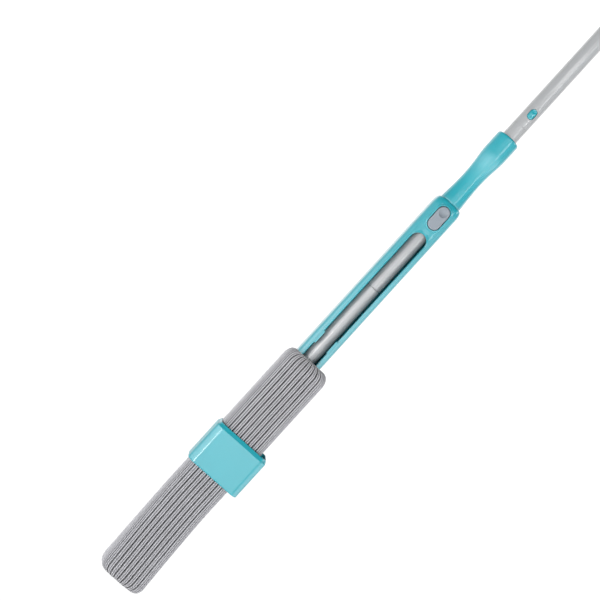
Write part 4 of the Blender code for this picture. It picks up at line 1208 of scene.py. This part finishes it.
    def build(self) -> None:
        """Make both halves."""
        tabs, ribs = self._pairs()
        front = [*self._hollow(True), self._slot(), *tabs, *self._button_seat(), *ribs, *self._bosses(1.0)]
        back = [*self._hollow(False), *self._bosses(-1.0), *self._pockets()]
        for side, tools in (("front", front), ("back", back)):
            mesh = shaded(worked(self._blank(), tools))
            shell = piece(f"housing_{side}_shell", mesh, Slot.TURQUOISE, Body.CARRIAGE, f"housing_{side}")
            soften_edges(shell, self.edge)


@dataclass
class CarriageGrip:
    """The waisted grip above the housing.

    Attributes:
        neck: Radius of the neck in the housing, and `neck_depth` how far down it reaches.
        bush_room: Radius of the room for the bush, and `bush_depth` its depth below the grip's top.
        mouth: How far below its top the grip opens.
        profile: Distances below the top, and the radius at each.
    """

    bottom: float = HOUSING_TOP + SEAT_GAP
    top: float = 665.3
    neck: float = 12.0
    neck_depth: float = 4.3
    bore: float = 10.1
    bush_room: float = 12.3
    bush_depth: float = 14.1
    mouth: float = 0.2
    profile: tuple[Pair, ...] = (
        (0.0, 12.5), (0.25, 13.2), (0.8, 13.75), (1.6, 14.1), (2.6, 14.3), (6.0, 14.35), (24.0, 14.3),
        (28.0, 14.15), (33.0, 13.7), (38.0, 13.15), (44.0, 12.5), (50.0, 12.0), (57.0, 11.65), (64.0, 11.55),
        (72.0, 11.75), (80.0, 12.15), (87.0, 12.65), (93.0, 13.1), (98.0, 13.4), (99.5, 13.35), (100.0, 13.0))

    def build(self) -> None:
        """Make the grip."""
        foot, shelf = self.bottom - self.neck_depth, self.top - self.bush_depth
        outline = [(radius, self.top - drop) for drop, radius in self.profile]
        outline += [(self.neck, self.bottom), (self.neck, foot), (self.bore, foot), (self.bore, shelf),
                    (self.bush_room, shelf), (self.bush_room, self.top - self.mouth)]
        mesh = shaded(turned("grip", outline))
        even_shading(piece("carriage_grip", mesh, Slot.TURQUOISE, Body.CARRIAGE, "grip_sleeve"))


@dataclass
class PressButton:
    """A stadium-shaped button with a crowned face and a thumb dimple.

    Attributes:
        name: The piece's name.
        node: The plain solid it stands for.
        size: Width and length.
        centre: Height of its middle.
        face: Depth of its face, and `back` that of its underside.
        edge: Rounding of the face's edge.
        dimple: Height of the dimple above the middle, its radius and depth.
        crown: Radius that the face is rounded to, across.
    """

    name: str
    node: str
    slot: Slot
    body: Body
    size: Pair
    centre: float
    face: float
    back: float
    edge: float
    dimple: tuple[float, float, float]
    crown: float
    round_steps: int = 28
    edge_steps: int = 5
    face_steps: int = 12

    def _loop(self, run: float, sink: float) -> Loop:
        """A loop on the crowned face.

        Args:
            run: How far it is drawn in from the outline.
            sink: How far it is sunk below the crown.

        Returns:
            The loop.
        """
        outline = stadium(self.size[0] - 2 * run, self.size[1] - 2 * run, self.round_steps)
        middle = self.face - self.crown - sink
        return [Vector((x * MM, -(middle + math.sqrt(self.crown ** 2 - x * x)) * MM, world(self.centre + y)))
                for x, y in outline]

    def _thumb(self) -> bpy.types.Mesh:
        """Shape the ball that hollows the thumb's dish out of the face.

        Returns:
            Its mesh.
        """
        above, rim, depth = self.dimple
        radius = (rim ** 2 + depth ** 2) / (2 * depth)
        work = bmesh.new()
        bmesh.ops.create_uvsphere(work, u_segments=96, v_segments=64, radius=radius * MM)
        centre = Vector((0.0, -(self.face + radius - depth) * MM, world(self.centre + above)))
        bmesh.ops.translate(work, verts=work.verts, vec=centre)
        return finished(work, "thumb")

    def build(self) -> None:
        """Make the button."""
        loops = [upright_loop(stadium(*self.size, self.round_steps), self.back, self.centre)]
        edge, steps = self.edge, self.face_steps
        loops += [self._loop(run, edge - rise) for run, rise in quarter((edge, edge), self.edge_steps)]
        inner = self.size[0] / 2 - edge
        loops += [self._loop(edge + inner * step / steps, 0.0) for step in range(1, steps)]
        mesh = shaded(worked(loft(self.name, loops), [(Cut.AWAY, self._thumb())]), 24.0)
        even_shading(piece(self.name, mesh, self.slot, self.body, self.node))


THUMB_BUTTON = PressButton(
    "thumb_button", "release_button", Slot.GREY, Body.RELEASE, BUTTON_SIZE, BUTTON_HEIGHT,
    face=17.9, back=12.5, edge=1.1, dimple=(8.4, 6.2, 2.1), crown=45.0)
LOCK_BUTTON = PressButton(
    "oval_lock_button", "pole_lock_button", Slot.TURQUOISE, Body.POLE_LOCK, LOCK_SIZE, LOCK_HEIGHT,
    face=9.2, back=4.0, edge=0.7, dimple=(4.6, 4.0, 0.9), crown=9.2)


@dataclass
class PoleTubes:
    """The three plugged sections of the pole.

    Attributes:
        play: Gap between a spigot and the tube it is plugged in.
        edge: Bevel of a tube's end, and `shoulder_share` how far its middle is drawn in.
        lead: Bevel inside a tube's end, and `root` how far down a spigot's root reaches inside.
        neck: Radius at the bottom of a joint's groove.
        joint_gap: Width of the lower joint's groove, and `tight_gap` that of the upper one.
        lock_gap: How much larger the lock's hole is than its button.
        lock_cut: Depths that the hole is cut between.
    """

    radius: float = 9.5
    wall: float = 0.8
    play: float = 0.3
    edge: float = 0.3
    shoulder_share: float = 0.3
    lead: float = 0.1
    root: float = 3.0
    neck: float = 7.9
    joint_gap: float = 0.9
    tight_gap: float = 0.12
    bottom: float = 176.0
    lower_joint: float = 435.0
    upper_joint: float = 684.0
    spigot_length: float = 38.0
    lock_gap: float = 0.35
    lock_cut: Pair = (4.0, 12.0)

    def _profile(self, low: float, high: float, gap: float) -> list[Pair]:
        """A section's closed profile.

        Args:
            low: Height of its lower end.
            high: Height of its upper end.
            gap: Width of the joint line at its top, over a drawn-down spigot; nought for a plain end.

        Returns:
            Radius and height of each point.
        """
        outer, inner = self.radius, self.radius - self.wall
        spigot, lead = inner - self.play, self.lead
        hollow = spigot - self.wall
        edge = self.tight_gap if low == self.upper_joint else self.edge
        draw = self.shoulder_share * edge
        foot = [(outer, low + edge), (outer - draw, low + draw), (outer - edge, low), (inner + lead, low),
                (inner, low + lead)]
        edge = min(self.edge, gap) or self.edge
        if not gap:
            return [(inner, high), (outer - edge, high), (outer, high - edge), *foot]
        shoulder, tip = high - gap, high + self.spigot_length
        draw = self.shoulder_share * edge
        return [(inner, shoulder - self.root), (hollow, shoulder), (hollow, tip), (spigot, tip),
                (spigot, high), (self.neck, high - lead), (self.neck, shoulder), (outer - edge, shoulder),
                (outer - draw, shoulder - draw), (outer, shoulder - edge), *foot]

    def build(self) -> None:
        """Make the three sections."""
        spans = (("lower", self.bottom, self.lower_joint, self.joint_gap),
                 ("middle", self.lower_joint, self.upper_joint, self.tight_gap),
                 ("upper", self.upper_joint, POLE_TOP, 0.0))
        width, length = (size + 2 * self.lock_gap for size in LOCK_SIZE)
        for word, low, high, gap in spans:
            mesh = turned(f"{word}_tube", self._profile(low, high, gap))
            if word != "lower":
                hole = [upright_loop(stadium(width, length), at, LOCK_HEIGHT) for at in self.lock_cut]
                mesh = worked(mesh, [(Cut.AWAY, loft("lock_hole", hole))])
            mesh = shaded(mesh)
            even_shading(piece(f"{word}_pole_section", mesh, Slot.STEEL, Body.POLE, f"{word}_pole_tube"))


@dataclass
class PoleTop:
    """The end grip and the cap with the hanging eye.

    Attributes:
        waist: The grip's radius in its middle, and `waist_power` how soon it narrows.
        grip_edge: Rounding of the grip's ends.
        rings: Where, from each end, the row of shallow rings starts and stops.
        ring_pitch: Distance between two rings, and `ring_depth` half their depth.
        plug: Radius of the cap's plug, and `plug_length` its length.
        flange: Radius of the cap's flange, rounded by `flange_round` at its top.
        tab: Radius, half thickness and foot below the flange's top of the tab that holds the eye.
        cap_edge: Rounding of the cap's hard edges.
    """

    grip_length: float = 105.0
    radius: float = 15.0
    waist: float = 13.4
    waist_power: float = 0.6
    grip_edge: float = 2.5
    rings: Pair = (8.0, 30.0)
    ring_pitch: float = 3.6
    ring_depth: float = 0.22
    grip_steps: int = 120
    bore: float = 9.8
    plug: float = 8.4
    plug_length: float = 30.0
    flange: float = 14.0
    flange_height: float = 5.0
    flange_edge: float = 0.3
    flange_round: float = 1.5
    tab: tuple[float, float, float] = (12.5, 4.5, 2.5)
    eye: float = 7.0
    eye_cut: float = 9.0
    cap_edge: float = 1.1

    def _grip(self) -> None:
        """Make the end grip, waisted, with a row of shallow grip rings at each end."""
        low, high = POLE_TOP - self.grip_length, POLE_TOP - SEAT_GAP
        profile = []
        for step in range(self.grip_steps + 1):
            height = high - (high - low) * step / self.grip_steps
            end = min(high - height, height - low)
            waist = max(0.0, math.sin(math.pi * (height - low) / (high - low))) ** self.waist_power
            radius = self.radius - (self.radius - self.waist) * waist
            if end < self.grip_edge:
                radius -= self.grip_edge - math.sqrt(self.grip_edge ** 2 - (self.grip_edge - end) ** 2)
            elif self.rings[0] < end < self.rings[1]:
                radius -= self.ring_depth * (1 + math.cos(2 * math.pi * end / self.ring_pitch))
            profile.append((radius, height))
        profile += [(self.bore, low), (self.bore, high)]
        mesh = shaded(turned("end_grip", profile), 50.0)
        even_shading(piece("end_grip", mesh, Slot.TURQUOISE, Body.POLE, "top_grip"))

    def _cap(self) -> None:
        """Make the cap with its eye."""
        low = POLE_TOP + SEAT_GAP
        high = low + self.flange_height
        edge, bend = self.flange_edge, self.flange_round
        profile = [(self.plug, POLE_TOP - self.plug_length), (self.plug, low), (self.flange - edge, low),
                   (self.flange, low + edge), (self.flange, high - bend)]
        profile += [(self.flange - run, high - bend + rise) for run, rise in quarter((bend, bend), 5)]
        cap = loft("cap", [level_loop(circle(radius, 96), height) for radius, height in profile])
        radius, half, below = self.tab
        foot = high - below - EYE_HEIGHT
        outline = [*arc((0.0, 0.0), radius, 0.0, 180.0, 40), (-radius, foot), (radius, foot)]
        tab = loft("tab", [upright_loop(outline, at, EYE_HEIGHT) for at in (-half, half)])
        ring = circle(self.eye, 60)
        eye = loft("eye", [upright_loop(ring, at, EYE_HEIGHT) for at in (-self.eye_cut, self.eye_cut)])
        mesh = shaded(worked(cap, [(Cut.ON, tab), (Cut.AWAY, eye)]))
        soften_edges(piece("eye_cap", mesh, Slot.TURQUOISE, Body.POLE, "hanger_cap"), self.cap_edge, 3)

    def build(self) -> None:
        """Make both pieces."""
        self._grip()
        self._cap()


@dataclass
class CarriedPieces:
    """The plain solids that stay as they are, such as screws, pins and plates, each given its finish.

    Attributes:
        springs: The hidden springs: the solid, its body, the joint that presses it and how far.
    """

    springs: tuple[tuple[str, Body, str, float], ...] = (
        ("pole_lock_spring", Body.POLE, "pole_lock_press", 3.0),
        ("button_spring", Body.CARRIAGE, "release_press", 0.8))

    def _spring(self, name: str, body: Body, joint: str, travel: float) -> None:
        """Let a copy of a spring stand for it.

        Args:
            name: The spring's solid.
            body: The body it sits on.
            joint: The joint that would press it; not used.
            travel: How far its front would be pressed, in millimetres; not used.
        """
        mesh = shaded(frame["nodes"][name].data.copy(), 50.0)
        coil = piece(f"{name}_wire", mesh, Slot.BRIGHT, body, name)
        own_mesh(coil)

    def dress(self) -> None:
        """Give every solid that is still shown the finish of its slot."""
        slots = {entry["node"]: Slot(entry["material_slot"]) for entry in frame["record"]["subparts"]}
        for spring in self.springs:
            self._spring(*spring)
        for name, solid in frame["nodes"].items():
            solid.data.materials.clear()
            solid.data.materials.append(finish_of(slots[name]))
            if not solid.hide_render:
                shaded(solid.data, 32.0)
                LOG.info("%s carried over", name)


@dataclass(frozen=True)
class SoftLight:
    """A soft light that faces the middle of the mop.

    Attributes:
        name: Its name.
        azimuth: How far right of the front it hangs, in degrees.
        elevation: How far above the mop's middle, in degrees.
        distance: How far from there, in metres.
        size: Its width and height in metres.
        glow: Its brightness, where 1 is a white sheet in full light.
    """

    name: str
    azimuth: float
    elevation: float
    distance: float
    size: Pair
    glow: float

    def hang(self, middle: Vector) -> None:
        """Hang the light.

        Args:
            middle: The middle of the mop.
        """
        across, rise = math.radians(self.azimuth), math.radians(self.elevation)
        level = Vector((math.sin(across), -math.cos(across), 0.0)) * math.cos(rise)
        data = bpy.data.lights.new(self.name, "AREA")
        data.shape = "RECTANGLE"
        data.size, data.size_y = self.size
        data.energy = self.glow * math.pi * self.size[0] * self.size[1]
        lamp = added(self.name, data)
        lamp.location = middle + (level + Vector((0.0, 0.0, math.sin(rise)))) * self.distance
        lamp.rotation_euler = (middle - lamp.location).to_track_quat("-Z", "Y").to_euler()


@dataclass
class Studio:
    """The seamless white set, its soft lights and the camera.

    Attributes:
        frame_size: Width of the picture in pixels.
        focal: Focal length in those pixels.
        sensor: Width of the camera's sensor in millimetres.
        distance: Distance from the pole in millimetres.
        aim: Where the camera's axis meets the pole's plane: right of the pole, and the height.
        swing: How far left of square the camera stands, in degrees.
        pitch: How far above square it stands, in degrees.
        lean: How far it is rolled, so the mop lies across the picture, in degrees.
        floor: Height of the floor.
        paper: How far the paper reaches to each side and to the front, and how high its wall is, in metres.
        sweep: Radius of the bend between floor and wall in metres, and `wall` how far back the wall stands.
        middle: Height that the lights face.
        room: Brightness of the white room, from its floor to its ceiling.
    """

    frame_size: float = 600.0
    focal: float = 1278.0
    sensor: float = 36.0
    distance: float = 1465.0
    aim: Pair = (-53.0, 368.0)
    swing: float = 5.0
    pitch: float = 1.2
    lean: float = 42.27
    floor: float = -420.0
    paper: Pair = (6.0, 5.0)
    sweep: float = 1.2
    wall: float = 2.6
    middle: float = 400.0
    room: tuple[Pair, ...] = ((0.38, 0.75), (0.5, 0.66), (0.62, 0.1), (0.9, 0.04))
    room_strength: float = 1.45
    lights: tuple[SoftLight, ...] = (
        SoftLight("front_soft", 4.0, -21.0, 2.4, (2.0, 2.4), 1.9),
        SoftLight("flank_left", -40.0, -18.0, 2.35, (0.95, 1.8), 4.2),
        SoftLight("side_left", -76.0, -20.0, 2.4, (1.8, 2.0), 2.9),
        SoftLight("side_right", 70.0, -18.0, 2.4, (2.4, 2.2), 2.05),
        SoftLight("strip_left", -15.0, -15.0, 2.3, (0.1, 1.1), 50.0),
        SoftLight("strip_right", 33.0, 14.0, 2.3, (0.16, 1.0), 12.0),
        SoftLight("strip_top", 2.0, 23.0, 2.3, (1.8, 0.14), 5.0),
        SoftLight("high_right", 80.0, 37.0, 2.3, (0.6, 0.4), 14.0))

    def _camera(self) -> None:
        """Set the camera at the photograph's angle."""
        data = bpy.data.cameras.new("camera")
        data.sensor_width = self.sensor
        data.lens = self.focal / self.frame_size * data.sensor_width
        data.clip_end = 60.0
        target = Vector((self.aim[0] * MM, 0.0, world(self.aim[1])))
        turn, rise, lean = math.radians(self.swing), math.radians(self.pitch), math.radians(self.lean)
        level = Vector((-math.sin(turn), -math.cos(turn), 0.0))
        away = level * math.cos(rise) + Vector((0.0, 0.0, math.sin(rise)))
        side = Vector((math.cos(turn), -math.sin(turn), 0.0))
        upright = away.cross(side)
        up = upright * math.cos(lean) - side * math.sin(lean)
        right = side * math.cos(lean) + upright * math.sin(lean)
        place = target + away * self.distance * MM
        camera = added("camera", data)
        camera.matrix_world = Matrix.Translation(place) @ Matrix((right, up, away)).transposed().to_4x4()
        bpy.context.scene.camera = camera

    def _backdrop(self) -> None:
        """Roll out the white paper: floor, sweep and wall in one sheet."""
        low, (wide, high) = world(self.floor), self.paper
        bend = arc((self.wall - self.sweep, low + self.sweep), self.sweep, -90.0, 0.0, 15)
        work = bmesh.new()
        left, right = ([work.verts.new((x, y, z)) for y, z in ((-wide, low), *bend, (self.wall, high))]
                       for x in (-wide, wide))
        for near, far in zip(zip(left, right), zip(left[1:], right[1:])):
            work.faces.new((*near, *reversed(far)))
        bmesh.ops.recalc_face_normals(work, faces=work.faces)
        mesh = finished(work, "paper")
        mesh.shade_smooth()
        mesh.materials.append(PAPER.material())
        sheet = added("studio_paper", mesh)

    def _light_up(self) -> None:
        """Hang the lights and set the white room round them, which darkens towards its ceiling."""
        scene = bpy.context.scene
        scene.view_settings.view_transform = "Standard"
        scene.world = bpy.data.worlds.new("white_room")
        graph = Graph(scene.world)
        rise = graph.place("Z", "Generated") * 0.5 + 0.5
        stops = [(place, (level,) * 3) for place, level in self.room]
        graph.set(Color=graph.ramp(rise, stops), Strength=self.room_strength)
        for light in self.lights:
            light.hang(Vector((0.0, 0.0, world(self.middle))))

    def build(self) -> None:
        """Set up everything round the mop."""
        self._camera()
        self._backdrop()
        self._light_up()


def main() -> None:
    """Build the studio and the mop, piece by piece."""
    logging.basicConfig(level=logging.INFO, format="%(name)s: %(message)s")
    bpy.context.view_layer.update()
    for made in (Studio(), PoleTubes(), PoleTop(), CarriageGrip(), HousingShells(), WringerRing(),
                 THUMB_BUTTON, LOCK_BUTTON, SpongePad()):
        made.build()
    CarriedPieces().dress()


if __name__ == "__main__":
    main()
